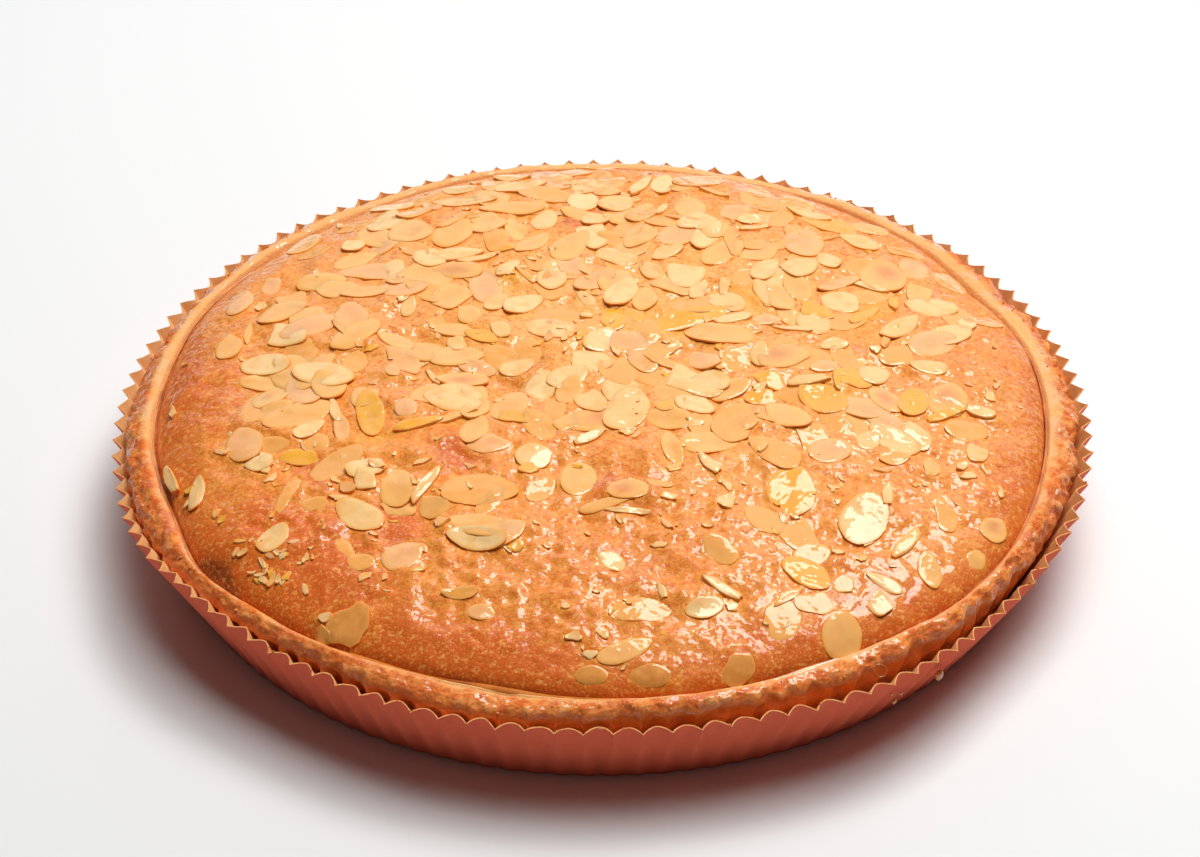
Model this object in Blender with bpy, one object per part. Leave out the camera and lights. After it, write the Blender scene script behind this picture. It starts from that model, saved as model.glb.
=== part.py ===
"""A round bakewell tart in its fluted paper case, about 25 cm across.

The origin is the centre of the flat base, on the surface that the tart stands on. +Z is up, and
angles turn anticlockwise from +X, seen from above. Three pieces nest in each other: the paper
case, the pastry crust that has taken the print of its flutes, and the domed almond filling with
its flaked almonds. Lengths are in millimetres until a vertex is placed.
"""

import math
import random

import bmesh
import bpy
from mathutils import Matrix, Vector

MM = 0.001

# The paper case
FLUTES = 114
FIRST_FLUTE = 192.0
CASE_RIM_RADIUS = 125.0
CASE_BASE_RADIUS = 110.0
CASE_HEIGHT = 24.8
FLUTE_DEPTH_AT_RIM = 3.2
FLUTE_DEPTH_AT_BASE = 1.6
PAPER_THICKNESS = 0.45

# How far the paper's rim is pushed out or lifted: angle, half width in degrees, distance
RIM_BULGES = ((205.0, 9.0, 1.0), (232.0, 14.0, -1.8), (300.0, 13.0, 2.0), (323.0, 10.0, -1.4))
RIM_LIFTS = ((188.0, 12.0, -1.4), (215.0, 11.0, 2.6), (322.0, 11.0, -2.6))

# The whole rim, crust and case, stands a little higher at the back
BACK_LIFT = ((95.0, 75.0, 1.7),)

# The clear space between neighbouring pieces
GAP = 0.35
GAP_ACROSS_FLUTES = 0.55

# The crust, with heights above the case's rim where they say so
CRUST_BASE_THICKNESS = 5.0
CRUST_INNER_BASE_RADIUS = 104.5
CREASE_RADIUS = 114.4
CREASE_HEIGHT = 2.1
LIP_HEIGHT = 3.2
CREST_HEIGHT = 3.3
SHOULDER_HEIGHT = 2.8
EDGE_HEIGHT = 1.7
RIM_WAVINESS = 0.9
CRAG_SIZE = 0.45

# Where the crust has drawn back from the paper, and where it fills the flutes
CRUST_GAPS = ((285.0, 38.0, 1.5), (340.0, 20.0, 0.7))
CRUST_FULLEST_ANGLE = 175.0

# The filling
DOME_HEIGHT = 15.2
DOME_EDGE_HEIGHT = 1.5
DOME_SQUARENESS = 2.5
DOME_SECTORS = 76
DOME_RINGS = 8
LUMP_HEIGHT = 0.7

# The flaked almonds
FLAKE_SIDES = 8
FLAKE_THICKNESS = 2.0
FLAKE_PROUD = 0.95
FLAKE_COUNT = 98
FLAKE_SPACING = 11.5
FLAKE_EDGE_MARGIN = 9.0

# The flakes that stand out in the photograph: x, y, length, width, turn in degrees
LARGE_FLAKES = (
    (-48, -71, 12, 9, 30), (-59, -56, 15, 9, 130), (-71, 1, 18, 10, 150), (-46, 45, 16, 13, 0),
    (-37, -12, 16, 12, 165), (6, -17, 19, 11, 73), (-16, -35, 10, 8, 30), (-7, -45, 14, 9, 85),
    (5, -51, 12, 8, 170), (22, 44, 15, 10, 90), (54, 63, 15, 12, 80), (74, 48, 16, 12, 80),
    (86, 35, 15, 10, 10), (32, -101, 11, 8, 65), (54, -91, 12, 10, 95), (-58, -88, 12, 10, 40),
    (63, -59, 17, 13, 70), (46, -48, 18, 12, 105), (-28, -67, 14, 7, 170), (-76, -16, 18, 9, 20),
    (-58, -17, 18, 7, 100), (90, -51, 11, 8, 45), (-86, 9, 14, 9, 170), (85, 17, 16, 10, 35),
)


def uneven(angle, bumps):
    """Sum of rounded bumps at their angles, in degrees."""
    total = 0.0
    for centre, half_width, size in bumps:
        away = (angle - centre + 180.0) % 360.0 - 180.0
        total += size * math.exp(-(away / half_width) ** 2)
    return total


def wave(angle, seed, cycles, size):
    """A smooth seeded wave that closes round the tart; cycles is the fastest one in it."""
    draw = random.Random(seed)
    total = 0.0
    for count in range(2, cycles + 1):
        phase = draw.uniform(0.0, 360.0)
        total += math.sin(math.radians(count * angle + phase)) / math.sqrt(cycles - 1)
    return size * total


def fold_angles():
    """The angles of the folds: outer folds at the even places, inner folds at the odd ones."""
    step = 180.0 / FLUTES
    return [FIRST_FLUTE + step * place for place in range(2 * FLUTES)]


def is_inner_fold(place):
    return place % 2 == 1


def case_radius(place, angle, share):
    """Outside radius of the paper at a share of its height, 0 at the base and 1 at the rim."""
    straight = CASE_BASE_RADIUS + share * (CASE_RIM_RADIUS - CASE_BASE_RADIUS)
    depth = FLUTE_DEPTH_AT_BASE + share * (FLUTE_DEPTH_AT_RIM - FLUTE_DEPTH_AT_BASE)
    fold = depth if is_inner_fold(place) else 0.0
    return straight - fold + share * uneven(angle, RIM_BULGES)


def case_rim_height(angle):
    return CASE_HEIGHT + uneven(angle, RIM_LIFTS + BACK_LIFT)


def crust_wall_radius(place, angle, share):
    """Outside radius of the pastry: the paper's print, drawn back where the crust has shrunk."""
    back = PAPER_THICKNESS + GAP_ACROSS_FLUTES
    shrunk = share * (uneven(angle, CRUST_GAPS) + max(0.0, uneven(angle, RIM_BULGES)))
    return case_radius(place, angle, share) - back - shrunk


def flute_fill(angle):
    """How far the rim's pastry fills the outer folds: all the way at the left, half elsewhere."""
    return 0.6 + 0.4 * math.cos(math.radians(angle - CRUST_FULLEST_ANGLE))


def crust_edge_radius(place, angle):
    """Radius of the rim's outer edge, a shallow scallop inside the paper's folds."""
    outward = crust_wall_radius(place, angle, 1.0)
    if is_inner_fold(place):
        return outward
    return outward - (1.0 - max(0.2, flute_fill(angle))) * FLUTE_DEPTH_AT_RIM * 0.7


def crease_radius(angle):
    """Radius at which the crust's lip meets the filling."""
    return CREASE_RADIUS + wave(angle, 5, 9, RIM_WAVINESS) + uneven(angle, ((28.0, 9.0, -3.0),))


def loft(name, rings):
    """One closed mesh through a stack of rings of equal count, with a flat face at each end."""
    mesh = bmesh.new()
    loops = [[mesh.verts.new(Vector(point) * MM) for point in ring] for ring in rings]
    for low, high in zip(loops, loops[1:]):
        for here in range(len(low)):
            there = (here + 1) % len(low)
            mesh.faces.new((low[here], low[there], high[there]))
            mesh.faces.new((low[here], high[there], high[here]))
    mesh.faces.new(reversed(loops[0]))
    mesh.faces.new(loops[-1])
    bmesh.ops.recalc_face_normals(mesh, faces=mesh.faces)
    data = bpy.data.meshes.new(name)
    mesh.to_mesh(data)
    mesh.free()
    return data


def ring(angles, radii, heights):
    """Points at the given angles, each with its own radius and height."""
    return [
        (radius * math.cos(math.radians(angle)), radius * math.sin(math.radians(angle)), height)
        for angle, radius, height in zip(angles, radii, heights)
    ]


def material(name, colour, roughness):
    made = bpy.data.materials.new(name)
    made.use_nodes = True
    shader = made.node_tree.nodes["Principled BSDF"]
    shader.inputs["Base Color"].default_value = (*colour, 1.0)
    shader.inputs["Roughness"].default_value = roughness
    made.diffuse_color = (*colour, 1.0)
    return made


def place_object(name, data, finish, collection):
    item = bpy.data.objects.new(name, data)
    item.data.materials.append(finish)
    collection.objects.link(item)
    return item


def paper_case(collection):
    """The fluted paper: up its outside, over the cut edge and down its inside to the base."""
    angles = fold_angles()
    shares = (0.0, 0.5, 1.0)

    def wall(share, inset, floor):
        radii = [case_radius(i, a, share) - inset for i, a in enumerate(angles)]
        heights = [floor + share * (case_rim_height(a) - floor) for a in angles]
        return ring(angles, radii, heights)

    outside = [wall(share, 0.0, 0.0) for share in shares]
    inside = [wall(share, PAPER_THICKNESS, PAPER_THICKNESS) for share in reversed(shares)]
    finish = material("paper", (0.61, 0.205, 0.114), 0.7)
    place_object("paper_case", loft("paper_case", outside + inside), finish, collection)


def crust(collection):
    """The pastry shell: up the fluted wall, over the craggy rim and down to its inner floor."""
    angles = fold_angles()
    places = range(len(angles))
    crag = random.Random(23)
    bottom = PAPER_THICKNESS + GAP
    floor = bottom + CRUST_BASE_THICKNESS

    def wall(share):
        radii = [crust_wall_radius(i, angles[i], share) for i in places]
        heights = [bottom + share * (case_rim_height(angles[i]) - bottom) for i in places]
        return ring(angles, radii, heights)

    def rim(across, height, rough):
        """A ring part of the way from the crease, 0, to the rim's outer edge, 1."""
        radii = []
        heights = []
        for i in places:
            inner = crease_radius(angles[i])
            outer = crust_edge_radius(i, angles[i])
            wavy = wave(angles[i], 11, 14, RIM_WAVINESS * 0.6)
            radii.append(inner + across * (outer - inner) - abs(crag.gauss(0.0, rough)))
            level = CASE_HEIGHT + height + uneven(angles[i], BACK_LIFT)
            heights.append(level + wavy + crag.uniform(-rough, rough))
        return ring(angles, radii, heights)

    crease_heights = [CASE_HEIGHT + CREASE_HEIGHT + uneven(a, BACK_LIFT) for a in angles]
    crease = ring(angles, [crease_radius(a) for a in angles], crease_heights)
    foot = ring(angles, [CRUST_INNER_BASE_RADIUS] * len(angles), [floor] * len(angles))
    outside = [wall(share) for share in (0.0, 0.5, 0.93)]
    over = [
        rim(1.0, EDGE_HEIGHT, CRAG_SIZE * 0.5),
        rim(0.8, SHOULDER_HEIGHT, CRAG_SIZE),
        rim(0.5, CREST_HEIGHT, CRAG_SIZE),
        rim(0.2, LIP_HEIGHT, CRAG_SIZE * 0.3),
    ]
    finish = material("crust", (0.73, 0.35, 0.13), 0.6)
    place_object("crust", loft("crust", outside + over + [crease, foot]), finish, collection)


def lumps(x, y):
    """Broad seeded swells of the risen sponge."""
    draw = random.Random(7)
    total = 0.0
    for _ in range(9):
        heading = draw.uniform(0.0, math.tau)
        length = draw.uniform(28.0, 60.0)
        phase = draw.uniform(0.0, math.tau)
        along = x * math.cos(heading) + y * math.sin(heading)
        total += math.sin(math.tau * along / length + phase) / 3.0
    return LUMP_HEIGHT * total


def dome_height(x, y):
    """Height of the filling's skin: a pillow, steep at its edge and nearly flat on top."""
    angle = math.degrees(math.atan2(y, x))
    share = min(1.0, math.hypot(x, y) / (crease_radius(angle) - GAP * 1.4))
    rise = math.sqrt(1.0 - share ** DOME_SQUARENESS)
    edge = CASE_HEIGHT + DOME_EDGE_HEIGHT + share * uneven(angle, BACK_LIFT)
    return edge + DOME_HEIGHT * rise + lumps(x, y) * min(1.0, 3.0 * (1.0 - share))


def bare_filling(name):
    """The filling without its flakes, from its flat underside to the middle of the dome."""
    step = 360.0 / DOME_SECTORS
    angles = [FIRST_FLUTE + step * place for place in range(DOME_SECTORS)]
    outline = [crease_radius(a) - GAP * 1.4 for a in angles]
    foot_height = PAPER_THICKNESS + GAP + CRUST_BASE_THICKNESS + GAP
    foot = [CRUST_INNER_BASE_RADIUS - GAP] * DOME_SECTORS
    rings = [ring(angles, foot, [foot_height] * DOME_SECTORS)]
    for count in range(DOME_RINGS + 1):
        # Rings lie closer together towards the steep edge
        share = math.cos(0.5 * math.pi * count / (DOME_RINGS + 0.6))
        radii = [share * radius for radius in outline]
        flat = ring(angles, radii, [0.0] * DOME_SECTORS)
        rings.append([(x, y, dome_height(x, y)) for x, y, _ in flat])
    return loft(name, rings)


def surface_turn(x, y):
    """Matrix that lays a flat thing on the dome's skin at x, y."""
    reach = 2.0
    slope_x = (dome_height(x + reach, y) - dome_height(x - reach, y)) / (2.0 * reach)
    slope_y = (dome_height(x, y + reach) - dome_height(x, y - reach)) / (2.0 * reach)
    normal = Vector((-slope_x, -slope_y, 1.0)).normalized()
    return Vector((0.0, 0.0, 1.0)).rotation_difference(normal).to_matrix().to_4x4()


def flake(number, x, y, length, width, turn, tilt, collection):
    """One flaked almond: a thin plate with few sides, sunk in the skin by half its thickness."""
    shape = bmesh.new()
    bmesh.ops.create_cone(
        shape, cap_ends=True, segments=FLAKE_SIDES, radius1=0.5, radius2=0.46, depth=1.0
    )
    lift = FLAKE_PROUD - 0.5 * FLAKE_THICKNESS
    size = Matrix.Diagonal((length * MM, width * MM, FLAKE_THICKNESS * MM, 1.0))
    leaning = Matrix.Rotation(math.radians(tilt), 4, "Y")
    turned = Matrix.Rotation(math.radians(turn), 4, "Z")
    raised = Matrix.Translation((0.0, 0.0, lift * MM))
    placed = Matrix.Translation(Vector((x, y, dome_height(x, y))) * MM)
    shape.transform(placed @ surface_turn(x, y) @ raised @ turned @ leaning @ size)
    data = bpy.data.meshes.new(f"flake_{number}")
    shape.to_mesh(data)
    shape.free()
    collection.objects.link(bpy.data.objects.new(f"flake_{number}", data))


def flake_places():
    """The large flakes, then smaller ones drawn evenly, fewer towards the front left."""
    draw = random.Random(41)
    places = [(*row, draw.uniform(-3.0, 3.0)) for row in LARGE_FLAKES]
    tries = 0
    while len(places) < FLAKE_COUNT and tries < 20000:
        tries += 1
        angle = draw.uniform(0.0, math.tau)
        reach = (CREASE_RADIUS - FLAKE_EDGE_MARGIN) * math.sqrt(draw.random())
        x = reach * math.cos(angle)
        y = reach * math.sin(angle)
        bare = math.exp(-((x + 40.0) / 55.0) ** 2 - ((y + 92.0) / 34.0) ** 2)
        if draw.random() < bare:
            continue
        if any(math.hypot(x - row[0], y - row[1]) < FLAKE_SPACING for row in places):
            continue
        length = draw.triangular(8.0, 17.0, 12.0)
        width = length * draw.uniform(0.5, 0.75)
        turn = draw.uniform(0.0, 180.0)
        places.append((x, y, length, width, turn, draw.uniform(-4.0, 4.0)))
    return places


def keep_outer_shell(data):
    """Leaves the largest connected surface, without loose scraps or sealed hollows."""
    mesh = bmesh.new()
    mesh.from_mesh(data)
    unseen = set(mesh.verts)
    islands = []
    while unseen:
        island = set()
        edge = [unseen.pop()]
        while edge:
            vertex = edge.pop()
            island.add(vertex)
            for link in vertex.link_edges:
                other = link.other_vert(vertex)
                if other in unseen:
                    unseen.discard(other)
                    edge.append(other)
        islands.append(island)
    islands.sort(key=len)
    for island in islands[:-1]:
        bmesh.ops.delete(mesh, geom=list(island), context="VERTS")
    mesh.to_mesh(data)
    mesh.free()


def filling(collection):
    """The domed almond filling with its flakes joined to it as one body."""
    finish = material("filling", (0.76, 0.34, 0.10), 0.3)
    item = place_object("filling", bare_filling("filling"), finish, collection)
    flakes = bpy.data.collections.new("flakes")
    bpy.context.scene.collection.children.link(flakes)
    for number, place in enumerate(flake_places()):
        flake(number, *place, flakes)
    union = item.modifiers.new("flakes", "BOOLEAN")
    union.operation = "UNION"
    union.operand_type = "COLLECTION"
    union.collection = flakes
    union.solver = "EXACT"
    bpy.context.view_layer.update()
    evaluated = item.evaluated_get(bpy.context.evaluated_depsgraph_get())
    joined = bpy.data.meshes.new_from_object(evaluated)
    item.modifiers.remove(union)
    item.data = joined
    for used in list(flakes.objects):
        bpy.data.objects.remove(used, do_unlink=True)
    bpy.data.collections.remove(flakes)
    keep_outer_shell(joined)


def main():
    for item in list(bpy.data.objects):
        bpy.data.objects.remove(item, do_unlink=True)
    tart = bpy.data.collections.new("bakewell_tart")
    bpy.context.scene.collection.children.link(tart)
    paper_case(tart)
    crust(tart)
    filling(tart)


main()
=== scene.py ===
"""A round bakewell tart in its fluted paper case, dressed over the packed part.

Lengths in the tables and in the functions that shape the pieces are in millimetres; meshes are in
metres. Angles turn anticlockwise from +X, seen from above, in degrees. The camera stands on -Y.
"""

import functools
import math
import random

import bpy
import numpy as np
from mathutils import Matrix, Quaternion, Vector


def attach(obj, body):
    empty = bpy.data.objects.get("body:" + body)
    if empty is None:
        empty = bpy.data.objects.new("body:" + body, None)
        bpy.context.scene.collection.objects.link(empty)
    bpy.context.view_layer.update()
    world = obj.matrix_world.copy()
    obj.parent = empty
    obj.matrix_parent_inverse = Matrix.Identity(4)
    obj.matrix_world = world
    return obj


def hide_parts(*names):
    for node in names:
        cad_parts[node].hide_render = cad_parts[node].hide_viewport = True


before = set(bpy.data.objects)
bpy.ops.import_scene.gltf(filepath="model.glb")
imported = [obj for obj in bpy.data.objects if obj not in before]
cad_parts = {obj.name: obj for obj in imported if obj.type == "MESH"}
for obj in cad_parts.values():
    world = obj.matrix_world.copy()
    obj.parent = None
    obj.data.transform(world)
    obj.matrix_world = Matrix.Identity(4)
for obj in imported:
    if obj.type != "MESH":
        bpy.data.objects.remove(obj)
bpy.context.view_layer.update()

bl_info = {
    "name": "Bakewell Tart",
    "version": (1, 0, 0),
    "blender": (4, 5, 0),
    "location": "3D View > Sidebar > Tart",
    "description": "A glazed almond tart with flaked almonds, in its fluted paper case",
    "category": "Add Mesh",
}

MM = 0.001
BODY = "root"

# The paper case, as the part has it
FLUTES = 114
FIRST_FLUTE = 192.0
CASE_RIM_RADIUS = 125.0
CASE_BASE_RADIUS = 110.0
CASE_HEIGHT = 24.8
FLUTE_DEPTH_AT_RIM = 3.2
FLUTE_DEPTH_AT_BASE = 1.6
# Thinner than the part's 0.45
PAPER_THICKNESS = 0.3
# Stretches along the rim: the angle of the middle, how wide and how strong, as in all such rows
RIM_BULGES = ((205.0, 9.0, 1.0), (232.0, 14.0, -1.8), (300.0, 13.0, 2.0), (323.0, 10.0, -1.4))
RIM_LIFTS = ((188.0, 12.0, -1.4), (215.0, 11.0, 2.6), (322.0, 11.0, -2.6))
BACK_LIFT = ((95.0, 75.0, 1.7),)

# The crust, as the part has it
CRUST_BOTTOM = 0.8
CRUST_FLOOR = 5.8
CRUST_INNER_BASE_RADIUS = 104.5
CREASE_RADIUS = 114.4
CREASE_HEIGHT = 2.1
CREASE_NOTCHES = ((28.0, 9.0, -3.0), (213.5, 7.5, 3.2))
RIM_WAVINESS = 0.9
# Where the crust stands away from the paper
CRUST_GAPS = ((285.0, 38.0, 1.5), (338.0, 24.0, 1.1))
CRUST_BACK = 1.0
# Where the crust is pressed into the paper's folds, and where it is most craggy
CRUST_FULL = ((150.0, 78.0, 1.8), (234.0, 20.0, 0.9))
CRUST_CRAGGY = ((345.0, 48.0, 1.0), (262.0, 30.0, 0.35), (205.0, 28.0, 0.6))
WALL_RECESS = 0.5
# Where the rim is browner
BROWNING = ((207.0, 30.0, 1.6), (262.0, 52.0, 1.0), (335.0, 35.0, 1.1))

# The filling, as the part has it
DOME_HEIGHT = 15.2
DOME_EDGE_HEIGHT = 1.5
DOME_SQUARENESS = 2.5
DOME_INSET = 0.49
LUMP_HEIGHT = 0.7
FOOT_HEIGHT = 6.15
FOOT_RADIUS = 104.15
HIGHEST = 43.6

# Flaked almonds read from the photograph, by tone: x, y, length, width, turn, kind
PLACED_FLAKES = {
    "cream": (
        (2, -75, 9, 7, 115, "half"), (24, -91, 10, 6, 25, "leaf"), (28, -85, 13, 3, 147, "stick"),
        (30, -90, 4, 4, 75, "bit"), (0, -99, 4, 3, 90, "bit"), (-7, -100, 5, 3, 178, "bit"),
        (-3, -105, 4, 3, 174, "bit"), (56, -71, 4, 3, 5, "bit"), (-58, -44, 8, 7, 98, "bit"),
        (-59, -56, 15, 9, 134, "oval"), (-30, -68, 15, 8, 168, "oval"), (-17, -37, 9, 9, 30, "oval"),
        (-84, -34, 8, 5, 105, "bit"), (-66, -88, 4, 3, 155, "bit"), (-100, -39, 12, 4, 85, "leaf"),
        (-107, -31, 13, 3, 108, "stick"), (-85, -33, 8, 7, 135, "half"), (-71, 1, 18, 10, 151, "oval"),
        (-86, 9, 14, 9, 169, "oval"), (-37, -12, 16, 12, 167, "oval"), (-73, -22, 10, 5, 42, "leaf"),
        (6, -18, 19, 11, 73, "oval"), (-3, -29, 11, 3, 39, "stick"), (-1, 111, 12, 6, 178, "leaf"),
        (26, -41, 10, 3, 126, "stick"),
        (24, -15, 13, 9, 17, "half"), (16, -54, 5, 3, 0, "bit"), (30, -55, 7, 5, 80, "half"),
        (63, -59, 17, 12, 73, "oval"), (6, -58, 12, 2, 176, "leaf"), (93, -28, 9, 6, 75, "half"),
        (95, -12, 9, 4, 163, "stick"), (66, -28, 8, 6, 68, "leaf"), (67, -79, 10, 4, 154, "leaf"),
        (65, -85, 8, 7, 135, "half"), (69, -51, 10, 3, 86, "stick"), (86, 35, 15, 9, 8, "oval"),
        (90, 22, 14, 8, 34, "leaf"), (69, 68, 13, 9, 134, "half"), (96, 29, 10, 6, 46, "half"),
        (77, 22, 15, 6, 48, "leaf"), (70, 10, 4, 3, 27, "bit"), (83, 5, 10, 6, 179, "leaf"),
        (69, 0, 10, 8, 46, "leaf"), (4, 82, 11, 9, 45, "oval"), (17, 96, 12, 7, 88, "leaf"),
        (28, 63, 15, 7, 64, "leaf"), (41, 75, 10, 4, 16, "leaf"), (41, 70, 10, 3, 13, "stick"),
        (56, 81, 13, 5, 156, "leaf"), (52, 48, 12, 9, 47, "oval"), (22, 44, 15, 10, 86, "half"),
        (4, 53, 12, 8, 155, "leaf"), (13, 46, 11, 5, 119, "leaf"), (43, 46, 12, 7, 70, "leaf"),
        (43, 35, 12, 7, 114, "leaf"), (-37, 87, 18, 7, 173, "leaf"), (-22, 94, 15, 7, 10, "leaf"),
        (-66, 65, 9, 6, 78, "half"), (-15, 73, 12, 7, 75, "leaf"), (-38, 56, 14, 5, 4, "leaf"),
        (-13, 43, 13, 8, 89, "oval"), (-50, 30, 8, 4, 79, "leaf"), (-26, 18, 10, 5, 110, "half"),
        (-37, 13, 8, 5, 92, "half"), (-13, 17, 15, 9, 154, "oval"), (-4, 22, 5, 4, 94, "bit"),
        (-4, 32, 8, 4, 118, "leaf"), (34, 23, 12, 5, 14, "stick"), (21, -4, 21, 11, 146, "half"),
        (52, -6, 13, 4, 9, "stick"), (26, 37, 11, 5, 61, "half"), (32, 38, 9, 3, 88, "stick"),
    ),
    "gold": (
        (5, -104, 14, 6, 23, "leaf"), (56, -95, 13, 10, 76, "oval"), (-50, -47, 14, 9, 90, "leaf"),
        (-41, -55, 9, 7, 136, "leaf"),
        (-29, -64, 19, 8, 161, "oval"), (-39, -62, 5, 4, 143, "bit"),
        (-76, -16, 19, 10, 22, "oval"), (-46, 45, 16, 13, 0, "oval"), (-6, -45, 14, 9, 86, "oval"),
        (17, -34, 14, 5, 103, "leaf"), (46, -20, 15, 9, 127, "leaf"), (90, -66, 7, 5, 64, "leaf"),
        (73, -66, 14, 4, 55, "stick"), (78, -73, 11, 6, 97, "leaf"), (11, 77, 14, 8, 69, "oval"),
        (24, 81, 15, 9, 90, "oval"), (32, 55, 15, 8, 43, "leaf"), (-8, 58, 17, 9, 63, "leaf"),
        (51, 39, 14, 7, 107, "leaf"), (-24, 80, 18, 7, 175, "leaf"), (-51, 70, 15, 12, 118, "oval"),
        (-65, 57, 14, 7, 37, "leaf"), (-23, 68, 12, 6, 100, "leaf"), (-18, 60, 13, 7, 54, "leaf"),
        (-62, 38, 13, 6, 178, "leaf"), (-63, 17, 16, 9, 47, "oval"), (-34, 27, 12, 7, 95, "half"),
        (30, 15, 19, 10, 160, "oval"), (46, 35, 15, 9, 100, "half"),
    ),
    "clear": (
        (9, -92, 15, 8, 0, "oval"), (42, -93, 13, 9, 82, "oval"), (50, -71, 10, 8, 28, "leaf"),
        (58, -81, 8, 6, 14, "half"), (-30, -50, 19, 12, 4, "oval"),
        (-27, -54, 13, 5, 61, "leaf"), (-15, -49, 11, 6, 59, "leaf"), (-65, -36, 16, 10, 46, "oval"),
        (-70, -50, 8, 7, 118, "half"), (-62, -67, 9, 4, 121, "leaf"), (-58, -73, 7, 6, 155, "leaf"),
        (-34, -85, 9, 4, 178, "leaf"), (-71, -27, 8, 7, 111, "oval"), (32, -24, 15, 10, 86, "oval"),
        (58, -21, 14, 7, 113, "leaf"), (39, -60, 13, 9, 124, "leaf"), (91, -20, 12, 8, 15, "oval"),
        (78, -14, 8, 6, 35, "half"), (72, -35, 8, 5, 17, "leaf"), (22, 96, 13, 7, 87, "leaf"),
        (47, 78, 14, 10, 70, "oval"), (-15, 88, 16, 9, 160, "oval"), (-50, 60, 12, 6, 131, "leaf"),
        (-28, 63, 14, 7, 92, "half"), (-43, 23, 5, 5, 108, "half"), (14, -49, 7, 3, 2, "leaf"),
    ),
    "amber": (
        (-60, -91, 13, 12, 130, "bit"), (31, -106, 11, 8, 67, "half"), (11, -110, 10, 6, 2, "oval"),
        (-3, -110, 8, 5, 178, "oval"), (-66, -92, 6, 5, 20, "bit"),
    ),
    "pink": (
        (-62, -46, 6, 5, 110, "bit"), (-48, -72, 11, 9, 39, "oval"), (-29, -91, 7, 5, 170, "leaf"),
        (-89, -25, 14, 10, 107, "oval"), (-65, -22, 12, 4, 98, "leaf"), (-49, -16, 8, 6, 106, "leaf"),
        (-53, 0, 6, 4, 96, "leaf"), (56, -34, 12, 9, 28, "oval"), (85, 17, 15, 10, 35, "oval"),
        (62, 42, 14, 5, 33, "leaf"), (-30, 38, 16, 9, 101, "oval"), (26, 4, 11, 8, 106, "half"),
        (54, 63, 16, 11, 83, "oval"),
    ),
    "toasted": (
        (6, -51, 11, 8, 168, "oval"), (95, -55, 9, 7, 61, "leaf"), (74, 48, 16, 13, 81, "oval"),
        (46, 5, 14, 11, 19, "oval"),
    ),
    "yellow": (
        (-18, -42, 7, 5, 8, "bit"), (-75, -32, 10, 6, 171, "leaf"), (-58, -17, 18, 7, 98, "oval"),
        (-46, -23, 14, 4, 15, "stick"), (46, -49, 18, 12, 89, "oval"), (78, -11, 12, 8, 76, "oval"),
        (76, 34, 8, 3, 86, "stick"), (68, 27, 12, 4, 47, "leaf"), (-31, 15, 10, 5, 148, "leaf"),
        (3, 22, 12, 7, 90, "leaf"), (9, 23, 7, 6, 19, "half"), (23, 23, 26, 7, 25, "leaf"),
        (42, -5, 9, 6, 147, "leaf"), (59, -6, 10, 2, 93, "stick"),
    ),
}

# Where the skin is darker, paler or wet and yellow: x, y, long and short half width, turn, amount
BROWN_PATCHES = (
    (-4, 73, 6, 5, 90, 1.0), (-51, -61, 9, 7, 114, 0.8), (5, -51, 7, 5, 168, 0.6),
    (-35, -34, 7, 6, 100, 0.7), (-68, -39, 8, 6, 136, 0.7), (14, 6, 6, 3, 142, 0.6),
    (-36, -99, 50, 14, 162, 0.5), (-73, -71, 36, 18, 133, 0.6), (-102, -4, 40, 12, 98, 0.45),
    (51, -90, 45, 12, 33, 0.3), (-1, -77, 40, 16, 7, 0.2), (98, -35, 36, 10, 81, 0.2),
)
PALE_PATCHES = (
    (0, 29, 75, 50, 159, 0.5), (39, -36, 36, 24, 0, 0.3), (0, 1, 30, 18, 7, 0.3),
    (-47, 92, 40, 14, 20, 0.3), (10, 50, 80, 40, 0, 0.45), (-83, -71, 13, 7, 20, 0.8),
)
WET_PATCHES = (
    (25, 25, 18, 7, 25, 0.9), (20, 37, 6, 4, 78, 0.9), (37, 34, 6, 4, 87, 0.8),
    (-23, 44, 5, 4, 100, 0.7), (68, 27, 9, 4, 52, 0.9), (60, -8, 9, 4, 93, 0.6),
    (-30, 16, 6, 4, 148, 0.5), (46, -49, 6, 5, 89, 0.4), (-58, -28, 8, 3, 20, 0.5),
)
# Where the glaze has settled smooth: x, y, long and short half width, turn, amount
SLEEK_PATCHES = (
    (74, -77, 24, 10, 42, 1.0), (88, -55, 14, 8, 60, 0.7), (30, -92, 16, 7, 8, 0.6),
    (52, -66, 12, 8, 30, 0.7), (-24, -86, 8, 5, 20, 0.6), (92, -5, 30, 8, 90, 0.5),
)

# Where the skin drops away from the crust: hollows as above, painted dark as shade, and the sunk edge by
# angle
CAVITIES = ((-95.0, -68.2, 9, 4.2, 127, 1.0), (-109, -30, 7, 1.4, 105, 0.5))
CAVITY_DEPTH = 3.2
SUNK_EDGE = ((192.0, 28.0, 1.2), (150.0, 20.0, 0.5))

# Across the rim: 0 at the crease, 1 at its outer edge, with the height above the case's rim
RIM_KNOTS = (
    (0.0, 2.1), (0.07, 2.95), (0.2, 3.35), (0.4, 3.3), (0.6, 2.5), (0.8, 1.4), (0.93, 0.3), (1.0, -0.9),
)
FRONT_RIM_KNOTS = (
    (0.0, 2.1), (0.07, 2.9), (0.22, 3.3), (0.5, 3.4), (0.75, 3.0), (0.9, 2.2), (0.97, 1.5), (1.0, 0.9),
)
FRONT_OF_RIM = ((278.0, 48.0, 1.0),)

# Where few loose flakes lie, and how near to one another they may lie
BARE_PATCHES = ((-40, -92, 60, 36, 0, 1.0), (98, -5, 16, 60, 0, 1.0), (-100, 5, 14, 60, 0, 0.9))
FLAKE_SPACING = 5.4

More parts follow.
